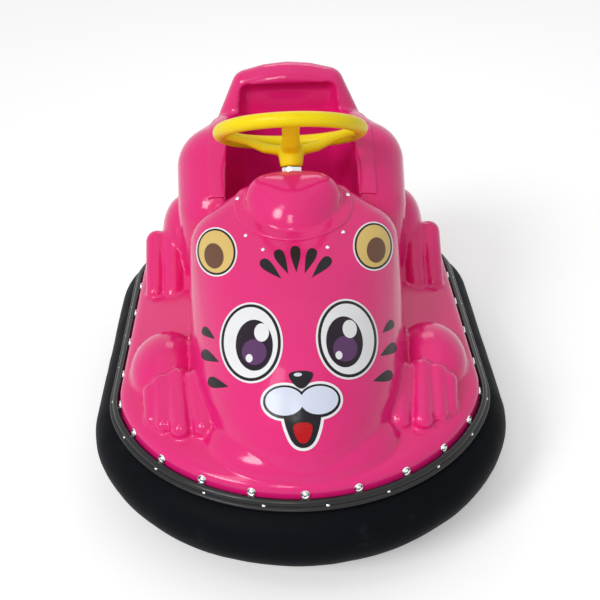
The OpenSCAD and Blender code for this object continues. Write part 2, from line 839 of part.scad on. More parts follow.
// A tyre with rounded shoulders, about the X axis
module wheel_tyre(d, bore_d, w) {
    rotate([0, 90, 0]) rotate_extrude($fn = 72)
        polygon([
            [bore_d / 2 + run_gap, -w / 2 + 2], [bore_d / 2 + 4, -w / 2], [d / 2 - 9, -w / 2],
            [d / 2 - 3, -w / 2 + 4], [d / 2, -w / 2 + 11], [d / 2, w / 2 - 11], [d / 2 - 3, w / 2 - 4],
            [d / 2 - 9, w / 2], [bore_d / 2 + 4, w / 2], [bore_d / 2 + run_gap, w / 2 - 2]
        ]);
}

module drive_rim() {
    color([0.72, 0.73, 0.75])
    translate([0, drive_y, drive_d / 2]) wheel_rim(drive_d - 60, drive_w);
}

module drive_tyre() {
    color([0.1, 0.1, 0.11])
    translate([0, drive_y, drive_d / 2]) wheel_tyre(drive_d, drive_d - 60, drive_w);
}

module rear_bracket(side) {
    x0 = rail_x + frame_tube / 2 + seat_gap;
    ear = rear_w / 2 + ear_gap;
    top = floor_z - seat_gap;
    color([0.25, 0.26, 0.28])
    mirror([side < 0 ? 1 : 0, 0, 0])
        difference() {
            union() {
                difference() {
                    translate([x0, rear_y - rear_d / 2 - 12, top - 4])
                        cube([rear_x + ear + ear_t + 4 - x0, rear_d + 24, 4]);
                    translate([rear_x - rear_w / 2 - 8, rear_y - rear_d / 2 - 8, 0])
                        cube([rear_w + 16, rear_d + 16, 200]);
                }
                for (x = [rear_x - ear - ear_t, rear_x + ear])
                    translate([x, rear_y, 0]) {
                        translate([0, -32, rear_d / 2]) cube([ear_t, 64, top - rear_d / 2]);
                        translate([0, 0, rear_d / 2]) rotate([0, 90, 0]) cylinder(h = ear_t, d = 40);
                        translate([0, -rear_d / 2 - 12, top - 14]) cube([ear_t, rear_d + 24, 14]);
                    }
            }
            translate([0, rear_y, rear_d / 2]) rotate([0, 90, 0])
                cylinder(h = half_w, d = axle_d + 2 * run_gap);
        }
}

module rear_axle(side) {
    ear = rear_w / 2 + ear_gap + ear_t;
    color([0.7, 0.71, 0.73])
    mirror([side < 0 ? 1 : 0, 0, 0])
        translate([rear_x - ear - 5, rear_y, rear_d / 2]) rotate([0, 90, 0])
            cylinder(h = 2 * ear + 10, d = axle_d);
}

module rear_rim(side) {
    color([0.85, 0.85, 0.83])
    translate([side * rear_x, rear_y, rear_d / 2]) wheel_rim(rear_d - 44, rear_w);
}

module rear_tyre(side) {
    color([0.1, 0.1, 0.11])
    translate([side * rear_x, rear_y, rear_d / 2]) wheel_tyre(rear_d, rear_d - 44, rear_w);
}

module pedal_bracket() {
    ear_x = pedal_w / 2 + 2;
    color([0.25, 0.26, 0.28])
    translate([-pedal_x, pedal_y, floor_top + seat_gap])
        difference() {
            union() {
                translate([-ear_x - 8, -60, 0]) cube([2 * ear_x + 16, 90, 3]);
                for (x = [-ear_x - 4, ear_x])
                    translate([x, -12, 0]) cube([4, 24, pedal_pivot + 8]);
            }
            translate([-pedal_w, 0, pedal_pivot]) rotate([0, 90, 0])
                cylinder(h = 2 * pedal_w, d = pedal_pin + 2 * run_gap);
        }
}

module pedal_plate() {
    color([0.12, 0.12, 0.13])
    translate([-pedal_x, pedal_y, floor_top + seat_gap + pedal_pivot]) {
        translate([-pedal_w / 2 - 8, 0, 0]) rotate([0, 90, 0]) cylinder(h = pedal_w + 16, d = pedal_pin);
        rotate([-pedal_slope, 0, 0]) {
            translate([-pedal_w / 2, -pedal_l * 0.7, 6]) cube([pedal_w, pedal_l, 5]);
            translate([-pedal_w / 2 + 16, -4, 0]) cube([pedal_w - 32, 8, 7]);
        }
    }
}

body_shell();
column_cowl();
seat_shell();
bumper_tube();
bumper_rim();
bumper_strip();
frame_rail(1);  // frame_rail_left
frame_rail(-1);  // frame_rail_right
frame_cross(cross_front_y);  // frame_cross_front
frame_cross(cross_rear_y);  // frame_cross_rear
floor_plate();
battery_block();
column_collar();
column_tube();
column_bushes();
steering_box();
steering_shaft();
steering_wheel();
wheel_nut();
wheel_cap();
drive_drum();
swivel_bearing();
kingpin();
drive_fork();
drive_motor();
drive_axle();
drive_rim();
drive_tyre();
rear_bracket(1);  // rear_bracket_left
rear_bracket(-1);  // rear_bracket_right
rear_axle(1);  // rear_axle_left
rear_axle(-1);  // rear_axle_right
rear_rim(1);  // rear_rim_left
rear_rim(-1);  // rear_rim_right
rear_tyre(1);  // rear_tyre_left
rear_tyre(-1);  // rear_tyre_right
pedal_bracket();
pedal_plate();
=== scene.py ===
import json
import math

import bmesh
import bpy
import numpy as np
from mathutils import Matrix, Vector, noise
from mathutils.bvhtree import BVHTree


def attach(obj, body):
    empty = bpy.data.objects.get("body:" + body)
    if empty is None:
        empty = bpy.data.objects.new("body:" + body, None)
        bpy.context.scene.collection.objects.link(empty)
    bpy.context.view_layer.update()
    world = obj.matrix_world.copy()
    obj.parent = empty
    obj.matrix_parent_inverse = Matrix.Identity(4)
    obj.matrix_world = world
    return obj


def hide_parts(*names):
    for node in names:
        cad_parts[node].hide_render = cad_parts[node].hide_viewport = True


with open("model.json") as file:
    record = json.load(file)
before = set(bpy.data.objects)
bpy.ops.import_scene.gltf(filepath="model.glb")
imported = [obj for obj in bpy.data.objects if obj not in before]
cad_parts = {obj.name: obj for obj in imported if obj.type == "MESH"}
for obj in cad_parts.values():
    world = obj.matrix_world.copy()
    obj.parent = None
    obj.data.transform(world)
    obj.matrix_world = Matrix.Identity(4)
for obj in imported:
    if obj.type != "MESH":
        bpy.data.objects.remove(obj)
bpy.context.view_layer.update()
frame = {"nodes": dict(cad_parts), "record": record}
mm = 0.001

# the photograph's camera
camera = dict(
    lens=56.34, sensor=36, clipEnd=60, elevation=33.9, yaw=0.91, roll=-1.6, distance=2.245, aimX=0.009, aimZ=0.339)


def aimCamera(c):
    e, y, r = (math.radians(c[k]) for k in ("elevation", "yaw", "roll"))
    ahead = Vector((math.sin(y) * math.cos(e), math.cos(y) * math.cos(e), -math.sin(e)))
    side = Vector((math.cos(y), -math.sin(y), 0))
    up = side.cross(ahead)
    right = side * math.cos(r) + up * math.sin(r)
    top = up * math.cos(r) - side * math.sin(r)
    place = Vector((c["aimX"], 0, c["aimZ"])) - ahead * c["distance"]
    data = bpy.data.cameras.new("photoCamera")
    data.lens, data.sensor_width, data.clip_end = c["lens"], c["sensor"], c["clipEnd"]
    cam = bpy.data.objects.new("photoCamera", data)
    cam.matrix_world = Matrix((
        (right.x, top.x, -ahead.x, place.x), (right.y, top.y, -ahead.y, place.y),
        (right.z, top.z, -ahead.z, place.z), (0, 0, 0, 1)))
    bpy.context.scene.collection.objects.link(cam)
    bpy.context.scene.camera = cam


aimCamera(camera)
bpy.context.scene.view_settings.view_transform = "Standard"
print("camera set")


# a value named in_X goes to the input X, by its number or its name
def addNode(tree, kind, **values):
    node = tree.nodes.new(kind)
    for key, value in values.items():
        if key.startswith("in_"):
            label = key[3:]
            node.inputs[int(label) if label.isdigit() else label.replace("_", " ")].default_value = value
        else:
            setattr(node, key, value)
    return node


def linkAll(tree, pairs):
    for a, b in pairs:
        tree.links.new(a, b)


# ins are (label, socket type, value), outs are (label, socket type)
def newGroup(name, ins, outs, kind="ShaderNodeTree"):
    group = bpy.data.node_groups.new(name, kind)
    for label, socketType, value in ins:
        socket = group.interface.new_socket(name=label, in_out="INPUT", socket_type=socketType)
        if value is not None:
            socket.default_value = value
    for label, socketType in outs:
        group.interface.new_socket(name=label, in_out="OUTPUT", socket_type=socketType)
    return group, group.nodes.new("NodeGroupInput"), group.nodes.new("NodeGroupOutput")


# soft patches, such as scuffs, dust and dull spots: where noise is over a level
def makePatchGroup():
    g, gin, gout = newGroup("patches", [
        ("Scale", "NodeSocketFloat", 20.0), ("Level", "NodeSocketFloat", 0.55),
        ("Softness", "NodeSocketFloat", 0.1)], [("Mask", "NodeSocketFloat")])
    at = addNode(g, "ShaderNodeTexCoord")
    cloud = addNode(g, "ShaderNodeTexNoise", in_Detail=5.0, in_Roughness=0.6)
    high = addNode(g, "ShaderNodeMath", operation="ADD")
    ramp = addNode(g, "ShaderNodeMapRange", interpolation_type="SMOOTHSTEP")
    linkAll(g, (
        (at.outputs["Object"], cloud.inputs["Vector"]), (gin.outputs["Scale"], cloud.inputs["Scale"]),
        (gin.outputs["Level"], high.inputs[0]), (gin.outputs["Softness"], high.inputs[1]),
        (cloud.outputs[0], ramp.inputs["Value"]), (gin.outputs["Level"], ramp.inputs["From Min"]),
        (high.outputs[0], ramp.inputs["From Max"]), (ramp.outputs[0], gout.inputs["Mask"])))
    return g


# fine height for a Bump node: two sizes of noise
def makeGrainGroup():
    g, gin, gout = newGroup("grain", [
        ("Fine", "NodeSocketFloat", 900.0), ("Coarse", "NodeSocketFloat", 60.0),
        ("Share", "NodeSocketFloat", 0.5), ("Stretch", "NodeSocketVector", (1, 1, 1))],
        [("Height", "NodeSocketFloat")])
    at = addNode(g, "ShaderNodeTexCoord")
    stretch = addNode(g, "ShaderNodeVectorMath", operation="MULTIPLY")
    fine = addNode(g, "ShaderNodeTexNoise", in_Detail=2.0)
    coarse = addNode(g, "ShaderNodeTexNoise", in_Detail=3.0)
    mix = addNode(g, "ShaderNodeMix", data_type="FLOAT")
    linkAll(g, (
        (at.outputs["Object"], stretch.inputs[0]), (gin.outputs["Stretch"], stretch.inputs[1]),
        (stretch.outputs[0], fine.inputs["Vector"]), (stretch.outputs[0], coarse.inputs["Vector"]),
        (gin.outputs["Fine"], fine.inputs["Scale"]), (gin.outputs["Coarse"], coarse.inputs["Scale"]),
        (gin.outputs["Share"], mix.inputs[0]), (fine.outputs[0], mix.inputs[2]),
        (coarse.outputs[0], mix.inputs[3]), (mix.outputs[0], gout.inputs["Height"])))
    return g


# worn edges: where the surface bends sharply, broken up by noise
def makeEdgeGroup():
    g, gin, gout = newGroup("wornEdges", [
        ("Low", "NodeSocketFloat", 0.52), ("High", "NodeSocketFloat", 0.6), ("Break", "NodeSocketFloat", 90.0)],
        [("Mask", "NodeSocketFloat")])
    geo = addNode(g, "ShaderNodeNewGeometry")
    at = addNode(g, "ShaderNodeTexCoord")
    ramp = addNode(g, "ShaderNodeMapRange")
    cloud = addNode(g, "ShaderNodeTexNoise", in_Detail=4.0)
    times = addNode(g, "ShaderNodeMath", operation="MULTIPLY")
    linkAll(g, (
        (geo.outputs["Pointiness"], ramp.inputs["Value"]), (gin.outputs["Low"], ramp.inputs["From Min"]),
        (gin.outputs["High"], ramp.inputs["From Max"]), (at.outputs["Object"], cloud.inputs["Vector"]),
        (gin.outputs["Break"], cloud.inputs["Scale"]), (ramp.outputs[0], times.inputs[0]),
        (cloud.outputs[0], times.inputs[1]), (times.outputs[0], gout.inputs["Mask"])))
    return g


patchGroup, grainGroup, edgeGroup = makePatchGroup(), makeGrainGroup(), makeEdgeGroup()


def placeGroup(tree, group, **values):
    node = tree.nodes.new("ShaderNodeGroup")
    node.node_tree = group
    for key, value in values.items():
        node.inputs[key].default_value = value
    return node


# colour and patchColour blend by soft patches; edge adds (colour, low, high) along bends
def makeMaterial(name, colour, patchColour, rough, patchRough, bump, grain, patch, edge=None, **sockets):
    mat = bpy.data.materials.new(name)
    mat.use_nodes = True
    mat.diffuse_color = (*colour, 1)
    t = mat.node_tree
    shader = t.nodes["Principled BSDF"]
    for key, value in sockets.items():
        shader.inputs[key.replace("_", " ")].default_value = value
    patches = placeGroup(t, patchGroup, **patch)
    tone = addNode(t, "ShaderNodeMix", data_type="RGBA")
    tone.inputs[6].default_value, tone.inputs[7].default_value = (*colour, 1), (*patchColour, 1)
    t.links.new(patches.outputs["Mask"], tone.inputs[0])
    colourOut = tone.outputs[2]
    gloss = addNode(t, "ShaderNodeMix", data_type="FLOAT", in_2=rough, in_3=patchRough)
    t.links.new(patches.outputs["Mask"], gloss.inputs[0])
    if edge:
        worn = placeGroup(t, edgeGroup, Low=edge[1], High=edge[2])
        over = addNode(t, "ShaderNodeMix", data_type="RGBA")
        over.inputs[7].default_value = (*edge[0], 1)
        t.links.new(colourOut, over.inputs[6])
        t.links.new(worn.outputs["Mask"], over.inputs[0])
        colourOut = over.outputs[2]
    t.links.new(colourOut, shader.inputs["Base Color"])
    t.links.new(gloss.outputs[0], shader.inputs["Roughness"])
    height = placeGroup(t, grainGroup, **grain)
    relief = addNode(t, "ShaderNodeBump", in_Strength=bump[0], in_Distance=bump[1])
    t.links.new(height.outputs["Height"], relief.inputs["Height"])
    t.links.new(relief.outputs["Normal"], shader.inputs["Normal"])
    return mat


finishes = dict(
    shellPink=makeMaterial(
        "shellPink", (0.78, 0.011, 0.188), (0.74, 0.009, 0.168), 0.16, 0.26, (0.2, 0.0005),
        dict(Fine=420.0, Coarse=30.0, Share=0.8), dict(Scale=7.0, Level=0.5, Softness=0.3),
        Coat_Weight=0.18, Coat_Roughness=0.05, Specular_IOR_Level=0.32),
    bumperRubber=makeMaterial(
        "bumperRubber", (0.0055, 0.0062, 0.0085), (0.02, 0.022, 0.027), 0.46, 0.72, (0.5, 0.0015),
        dict(Fine=700.0, Coarse=34.0, Share=0.75), dict(Scale=13.0, Level=0.57, Softness=0.22),
        Specular_IOR_Level=0.02),
    stripRubber=makeMaterial(
        "stripRubber", (0.004, 0.0043, 0.0055), (0.009, 0.0095, 0.011), 0.26, 0.42, (0.2, 0.0005),
        dict(Fine=500.0, Coarse=50.0, Share=0.6), dict(Scale=18.0, Level=0.55, Softness=0.2),
        Specular_IOR_Level=0.4),
    wheelYellow=makeMaterial(
        "wheelYellow", (0.93, 0.72, 0.0), (0.9, 0.66, 0.0), 0.34, 0.46, (0.3, 0.0004),
        dict(Fine=1500.0, Coarse=180.0, Share=0.5), dict(Scale=26.0, Level=0.52, Softness=0.25),
        Specular_IOR_Level=0.25),
    brightSteel=makeMaterial(
        "brightSteel", (0.78, 0.79, 0.8), (0.5, 0.5, 0.5), 0.14, 0.36, (0.15, 0.0002),
        dict(Fine=2200.0, Coarse=300.0, Share=0.4), dict(Scale=140.0, Level=0.58, Softness=0.2), Metallic=1.0),
    plainSteel=makeMaterial(
        "plainSteel", (0.46, 0.465, 0.48), (0.24, 0.2, 0.17), 0.34, 0.6, (0.25, 0.0003),
        dict(Fine=1600.0, Coarse=200.0, Share=0.4, Stretch=(4, 1, 1)),
        dict(Scale=60.0, Level=0.6, Softness=0.2), Metallic=1.0),
    darkSteel=makeMaterial(
        "darkSteel", (0.028, 0.03, 0.034), (0.07, 0.066, 0.06), 0.42, 0.7, (0.3, 0.0006),
        dict(Fine=900.0, Coarse=70.0, Share=0.6), dict(Scale=22.0, Level=0.57, Softness=0.2),
        edge=((0.3, 0.29, 0.28), 0.53, 0.62)),
    castGrey=makeMaterial(
        "castGrey", (0.12, 0.125, 0.135), (0.07, 0.07, 0.068), 0.5, 0.7, (0.45, 0.0008),
        dict(Fine=650.0, Coarse=120.0, Share=0.45), dict(Scale=30.0, Level=0.55, Softness=0.25),
        edge=((0.36, 0.36, 0.37), 0.53, 0.63)),
    batteryPlastic=makeMaterial(
        "batteryPlastic", (0.026, 0.027, 0.03), (0.07, 0.07, 0.072), 0.48, 0.72, (0.35, 0.0004),
        dict(Fine=1100.0, Coarse=90.0, Share=0.4), dict(Scale=24.0, Level=0.58, Softness=0.25)),
    nylon=makeMaterial(
        "nylon", (0.72, 0.71, 0.66), (0.42, 0.4, 0.36), 0.42, 0.6, (0.2, 0.0004),
        dict(Fine=900.0, Coarse=120.0, Share=0.5), dict(Scale=34.0, Level=0.56, Softness=0.25),
        Subsurface_Weight=0.05),
    rimAlloy=makeMaterial(
        "rimAlloy", (0.5, 0.51, 0.53), (0.3, 0.29, 0.27), 0.38, 0.6, (0.3, 0.0005),
        dict(Fine=1200.0, Coarse=160.0, Share=0.5), dict(Scale=40.0, Level=0.56, Softness=0.2), Metallic=1.0),
    tyreRubber=makeMaterial(
        "tyreRubber", (0.017, 0.017, 0.018), (0.085, 0.08, 0.072), 0.62, 0.85, (0.5, 0.001),
        dict(Fine=800.0, Coarse=60.0, Share=0.5), dict(Scale=36.0, Level=0.54, Softness=0.25)),
)
vinyl = dict(
    white=(0.84, 0.84, 0.86), black=(0.009, 0.007, 0.011), tan=(0.74, 0.53, 0.17), brown=(0.15, 0.066, 0.035),
    pupil=(0.015, 0.006, 0.016), violet=(0.11, 0.04, 0.13), lavender=(0.68, 0.72, 0.85), red=(0.48, 0.002, 0.006))
for stickerName, stickerColour in vinyl.items():
    finishes[stickerName] = makeMaterial(
        "vinyl_" + stickerName, stickerColour, tuple(0.9 * c + 0.006 for c in stickerColour), 0.24, 0.36,
        (0.12, 0.0004), dict(Fine=500.0, Coarse=44.0, Share=0.6), dict(Scale=24.0, Level=0.55, Softness=0.25),
        Specular_IOR_Level=0.22)
print("materials made:", len(finishes))


# Mesh helpers. Sizes are in millimetres up to the mesh.
def newObject(name, verts, faces, finish=None, smooth=True):
    mesh = bpy.data.meshes.new(name)
    mesh.from_pydata([tuple(np.array(v) * mm) for v in verts], [], faces)
    if smooth:
        mesh.polygons.foreach_set("use_smooth", [True] * len(mesh.polygons))
    obj = bpy.data.objects.new(name, mesh)
    bpy.context.scene.collection.objects.link(obj)
    if finish:
        mesh.materials.append(finishes[finish])
    return obj


# the modifiers' result becomes the mesh
def baked(obj):
    graph = bpy.context.evaluated_depsgraph_get()
    graph.update()
    mesh = bpy.data.meshes.new_from_object(obj.evaluated_get(graph))
    obj.modifiers.clear()
    obj.data = mesh
    return obj


# one finish all over and smooth faces; sharp edges only past the angle, if one is given
def dress(obj, finish, sharp=None):
    obj.data.materials.clear()
    obj.data.materials.append(finishes[finish])
    obj.data.polygons.foreach_set("material_index", [0] * len(obj.data.polygons))
    obj.data.polygons.foreach_set("use_smooth", [True] * len(obj.data.polygons))
    if sharp:
        obj.data.set_sharp_from_angle(angle=math.radians(sharp))
    return obj


# points over an ellipsoid; r is one radius or three
def ballPoints(c, r, rings=24):
    r = np.array([r, r, r] if np.isscalar(r) else r, float)
    pts = [(0, 0, 1), (0, 0, -1)]
    for i in range(1, rings):
        t = math.pi * i / rings
        for k in range(2 * rings):
            a = math.pi * k / rings
            pts.append((math.sin(t) * math.cos(a), math.sin(t) * math.sin(a), math.cos(t)))
    return np.array(pts) * r + np.array(c, float)


# both sides' balls from (x, y, z), radius pairs on one side
def ballPairs(balls, grow=0.0, rings=20):
    return np.concatenate([ballPoints((s * c[0], c[1], c[2]), r + grow, rings) for c, r in balls for s in (1, -1)])


# adds the convex hull of the points
def hullInto(bm, pts):
    part = bmesh.new()
    verts = [part.verts.new(tuple(p * mm)) for p in np.array(pts)]
    made = bmesh.ops.convex_hull(part, input=verts)
    loose = {v for v in made["geom_interior"] + made["geom_unused"] if isinstance(v, bmesh.types.BMVert)}
    bmesh.ops.delete(part, geom=list(loose), context="VERTS")
    bmesh.ops.recalc_face_normals(part, faces=part.faces)
    mesh = bpy.data.meshes.new("part")
    part.to_mesh(mesh)
    part.free()
    bm.from_mesh(mesh)
    bpy.data.meshes.remove(mesh)


def bmeshOf(obj):
    bm = bmesh.new()
    bm.from_mesh(obj.data)
    return bm


def writeBack(bm, obj):
    bm.to_mesh(obj.data)
    bm.free()
    return obj


def objectFrom(bm, name):
    mesh = bpy.data.meshes.new(name)
    bm.to_mesh(mesh)
    bm.free()
    obj = bpy.data.objects.new(name, mesh)
    bpy.context.scene.collection.objects.link(obj)
    return obj


# a closed solid from one point set per hull
def hullObject(name, *pointSets):
    bm = bmesh.new()
    for pts in pointSets:
        hullInto(bm, pts)
    return objectFrom(bm, name)


# overlapping closed forms melt into one skin with soft fillets
def blendForms(obj, voxel, rounds, share=1.0):
    remesh = obj.modifiers.new("melt", "REMESH")
    remesh.mode, remesh.voxel_size, remesh.use_smooth_shade = "VOXEL", voxel * mm, True
    soften = obj.modifiers.new("soften", "SMOOTH")
    soften.factor, soften.iterations = 0.5, rounds
    if share < 1:
        fewer = obj.modifiers.new("fewer", "DECIMATE")
        fewer.ratio = share
    return baked(obj)


# the cutter is used up
def cutBy(obj, cutter, operation="DIFFERENCE"):
    cut = obj.modifiers.new("cut", "BOOLEAN")
    cut.object, cut.operation, cut.solver = cutter, operation, "MANIFOLD"
    baked(obj)
    bpy.data.objects.remove(cutter)
    return obj


def surfaceOf(obj):
    bm = bmeshOf(obj)
    tree = BVHTree.FromBMesh(bm)
    bm.free()
    return tree


def prism(name, loop, z0, z1):
    n = len(loop)
    verts = [(x, y, z0) for x, y in loop] + [(x, y, z1) for x, y in loop]
    faces = [list(range(n))[::-1], list(range(n, 2 * n))]
    faces += [[i, (i + 1) % n, n + (i + 1) % n, n + i] for i in range(n)]
    return newObject(name, verts, faces, smooth=False)


def circleLoop(cx, cy, r, count=96):
    turns = (math.tau * i / count for i in range(count))
    return [(cx + r * math.cos(t), cy + r * math.sin(t)) for t in turns]


def rectLoop(halfWidth, y0, y1):
    return [(-halfWidth, y0), (halfWidth, y0), (halfWidth, y1), (-halfWidth, y1)]


# a flat loop's points at each of the heights
def atHeights(loop, *heights):
    return np.array([(x, y, z) for x, y in loop for z in heights])


# turns the faces outward, after points within the distance are joined
def faceOutward(obj, join=0.0):
    bm = bmeshOf(obj)
    if join:
        bmesh.ops.remove_doubles(bm, verts=bm.verts, dist=join * mm)
    bmesh.ops.recalc_face_normals(bm, faces=bm.faces)
    return writeBack(bm, obj)


# the faces that lie on a skin stay; those that a cut made, which lead away from it, go
def keepOn(obj, tree, slack=0.06, bulge=1.2, join=0.05):
    bm = bmeshOf(obj)
    off = {v for v in bm.verts if tree.find_nearest(v.co)[3] > slack * mm}
    away = [f for f in bm.faces
            if off.intersection(f.verts) or tree.find_nearest(f.calc_center_median())[3] > bulge * mm]
    bmesh.ops.delete(bm, geom=away, context="FACES")
    bmesh.ops.delete(bm, geom=[v for v in bm.verts if not v.link_faces], context="VERTS")
    bmesh.ops.remove_doubles(bm, verts=bm.verts, dist=join * mm)
    return writeBack(bm, obj)


# gives a skin its wall; the wall's hidden side is thinned out
def thicken(obj, wall, share):
    inner = obj.vertex_groups.new(name="inner")
    thick = obj.modifiers.new("wall", "SOLIDIFY")
    thick.thickness, thick.offset, thick.use_quality_normals = wall * mm, -1, True
    thick.shell_vertex_group = inner.name
    fewer = obj.modifiers.new("fewer", "DECIMATE")
    fewer.vertex_group, fewer.ratio = inner.name, share
    return baked(obj)


# the car's outline
plan = dict(length=1220, width=950, frontTurn=66, frontCorner=317, rearTurn=35.7, rearCorner=230)


# centre, radius and angle along the outline, about one for each step in millimetres
def planStations(steps):
    hw, hl = plan["width"] / 2, plan["length"] / 2
    fc, rc = plan["frontCorner"], plan["rearCorner"]
    ft, rt = math.radians(plan["frontTurn"]), math.radians(plan["rearTurn"])
    fr, rr = fc + (hw - fc) / math.sin(ft), rc + (hw - rc) / math.sin(rt)
    fy, ry = -hl + fr, hl - rr
    cf = (hw - fc, fy - (fr - fc) * math.cos(ft))
    cr = (hw - rc, ry + (rr - rc) * math.cos(rt))
    quarter = math.pi / 2
    arcs = [((0, fy), fr, -quarter - ft, 2 * ft), (cf, fc, -quarter + ft, quarter - ft), (cr, rc, 0, quarter - rt),
            ((0, ry), rr, quarter - rt, 2 * rt), ((-cr[0], cr[1]), rc, quarter + rt, quarter - rt),
            ((-cf[0], cf[1]), fc, math.pi, quarter - ft)]
    found = []
    for k, (c, r, start, sweep) in enumerate(arcs):
        n = max(2, round(r * sweep / steps))
        for i in range(n):
            found.append((c[0], c[1], r, start + sweep * i / n))
        if k % 3 == 1:      # a straight side follows
            ahead = arcs[(k + 1) % 6]
            sideSteps = round(abs(ahead[0][1] - c[1]) / steps)
            for i in range(sideSteps):
                y = c[1] + (ahead[0][1] - c[1]) * i / sideSteps
                found.append((c[0], y, r, start + sweep))
    return found


def planLoop(inset, steps=12):
    return [(x + (r - inset) * math.cos(t), y + (r - inset) * math.sin(t)) for x, y, r, t in planStations(steps)]


# sweeps a closed section of (outward, up) points round the outline; lump moves points by noise
def sweepRing(name, section, finish, steps=9, lump=None):
    stations, m = planStations(steps), len(section)
    verts, faces = [], []
    for x, y, r, t in stations:
        out = Vector((math.cos(t), math.sin(t), 0))
        for u, z in section:
            p = Vector((x, y, z)) + out * (r + u)
            if lump:
                p += lump(p, out)
            verts.append(p)
    count = len(stations)
    for i in range(count):
        j = (i + 1) % count
        for k in range(m):
            n = (k + 1) % m
            faces.append([i * m + k, j * m + k, j * m + n, i * m + n])
    return faceOutward(newObject(name, verts, faces, finish))


# the moulded body; balls are (centre, radius) on one side and mirrored
body = dict(
    wall=5, hiddenShare=0.62, voxel=3.6, rounds=5, share=0.42,
    footZ=225.8, edgeInset=66, edgeRise=40, edgeReach=60, edgePower=3.2, edgeRows=15,
    deckRise=26, deckInset=180, deckDepth=30,
    head=((0, -120, 255), (252, 408, 277)),
    shoulders=[((142, 48, 457), 105), ((152, 160, 305.8), 105), ((95, 90, 535), 55)],
    chin=((0, -395, 262), (205, 136, 76)),
    barrel=[((179, 240, 462), 108), ((179, 240, 265.8), 113), ((182, 332, 532), 108), ((182, 332, 270.8), 113),
            ((142, 402, 530), 108), ((142, 402, 265.8), 113)],
    forearm=((302, -158, 262), (84, 112, 80)), thigh=((284, 335, 345), (62, 105, 100)),
    fingers=[[((317, -335, 272), 18), ((320, -270, 291), 24)], [((290, -356, 275), 21), ((299, -256, 300), 27)],
             [((252, -376, 279), 25), ((267, -247, 303), 31)], [((204, -375, 281), 28), ((223, -258, 302), 33)]],
    toes=[[((358, 165, 268), 26), ((357, 285, 349), 30)], [((311, 160, 268), 28), ((313, 285, 357), 33)],
          [((266, 170, 268), 26), ((268, 290, 355), 30)]],
    cockpit=((125, 170, 40), (70, 355, 90)), cockpitCut=(100, 900), cowlHole=(0, 50, 93), holeCut=(440, 900),
    underZ=-200)


# evenly spaced points of the outline round circles that are mirrored in x
def hullLoop(circles, grow=0.0, count=220):
    ring = [(s * x, y, r + grow) for x, y, r in circles for s in (1, -1)]
    pts = []
    for i in range(720):
        a = math.tau * i / 720
        nx, ny = math.cos(a), math.sin(a)
        x, y, r = max(ring, key=lambda c: c[0] * nx + c[1] * ny + c[2])
        pts.append((x + r * nx, y + r * ny))
    pts = np.array(pts + pts[:1])
    run = np.r_[0, np.cumsum(np.hypot(*np.diff(pts, axis=0).T))]
    at = np.linspace(0, run[-1], count, endpoint=False)
    return [(np.interp(a, run, pts[:, 0]), np.interp(a, run, pts[:, 1])) for a in at]


def headPoints(b, grow=0.0):
    c, r = b["head"]
    return np.concatenate([ballPoints(c, [v + grow for v in r], rings=40), ballPairs(b["shoulders"], grow)])


# the rolled edge, its foot and the crown of the deck
def deckPoints(b):
    rows, power = [], b["edgePower"]
    for u in (i / (b["edgeRows"] - 1) for i in range(b["edgeRows"])):
        rise = (1 - (1 - u) ** power) ** (1 / power)
        rows += [(x, y, b["footZ"] + b["edgeRise"] * rise) for x, y in planLoop(b["edgeInset"] + u * b["edgeReach"])]
    rows += [(x, y, b["footZ"] - b["deckDepth"]) for x, y in planLoop(b["edgeInset"])]
    crown = b["footZ"] + b["edgeRise"] + b["deckRise"]
    rows += [(x, y, crown) for x, y in planLoop(b["edgeInset"] + b["deckInset"])]
    return np.array(rows)


def makeBodyForm(b):
    hulls = [deckPoints(b), headPoints(b), ballPoints(*b["chin"], rings=32), ballPairs(b["barrel"])]
    for s in (1, -1):
        side = np.array([s, 1, 1])
        for c, r in (b["forearm"], b["thigh"]):
            hulls.append(ballPoints(np.array(c) * side, r))
        for digit in b["fingers"] + b["toes"]:
            hulls.append(np.concatenate([ballPoints(np.array(c) * side, r, rings=14) for c, r in digit]))
    return blendForms(hullObject("bodyForm", *hulls), b["voxel"], b["rounds"], b["share"])


bodyForm = makeBodyForm(body)
bodySkin = surfaceOf(bodyForm)
cockpitLoop = hullLoop(body["cockpit"])


def copyOf(obj, name):
    made = obj.copy()
    made.data = obj.data.copy()
    made.name = name
    bpy.context.scene.collection.objects.link(made)
    return made


def makeBodyShell(b):
    shell = copyOf(bodyForm, "bodyShell")
    cutBy(shell, prism("cockpitCut", cockpitLoop, *b["cockpitCut"]))
    cutBy(shell, prism("holeCut", circleLoop(*b["cowlHole"]), *b["holeCut"]))
    pastPlan = rectLoop(600, -700, 700)
    cutBy(shell, prism("footCut", pastPlan, b["underZ"], b["footZ"]))
    keepOn(shell, bodySkin)
    return dress(thicken(shell, b["wall"], b["hiddenShare"]), "shellPink")


bodyShell = makeBodyShell(body)
print("body shell faces:", len(bodyShell.data.polygons))

# the cowl over the steering column, with its flat lip; cuts are (from, to) heights
cowl = dict(
    balls=[((0, 50, 529), 115), ((52, 50, 586), 58), ((0, 140, 499), 109)], rings=36, wall=4, voxel=3.2, rounds=3,
    lip=(0, 50, 137), lipRise=4.3, lipCut=(430, 800), seatGap=0.3, back=(200, 126, 400), backCut=(300, 900),
    collarHole=25.3, boreFrom=-150, sharp=50)
steering = dict(centre=(0, 165, 700), rake=33, diameter=360, grip=34)


# a point d along the column's axis from the wheel's centre, moved sideways in the wheel's plane
def columnPoint(d, side):
    a = math.radians(steering["rake"])
    c = steering["centre"]
    return (c[0] + side[0], c[1] + d * math.sin(a) + side[1] * math.cos(a),
            c[2] + d * math.cos(a) - side[1] * math.sin(a))


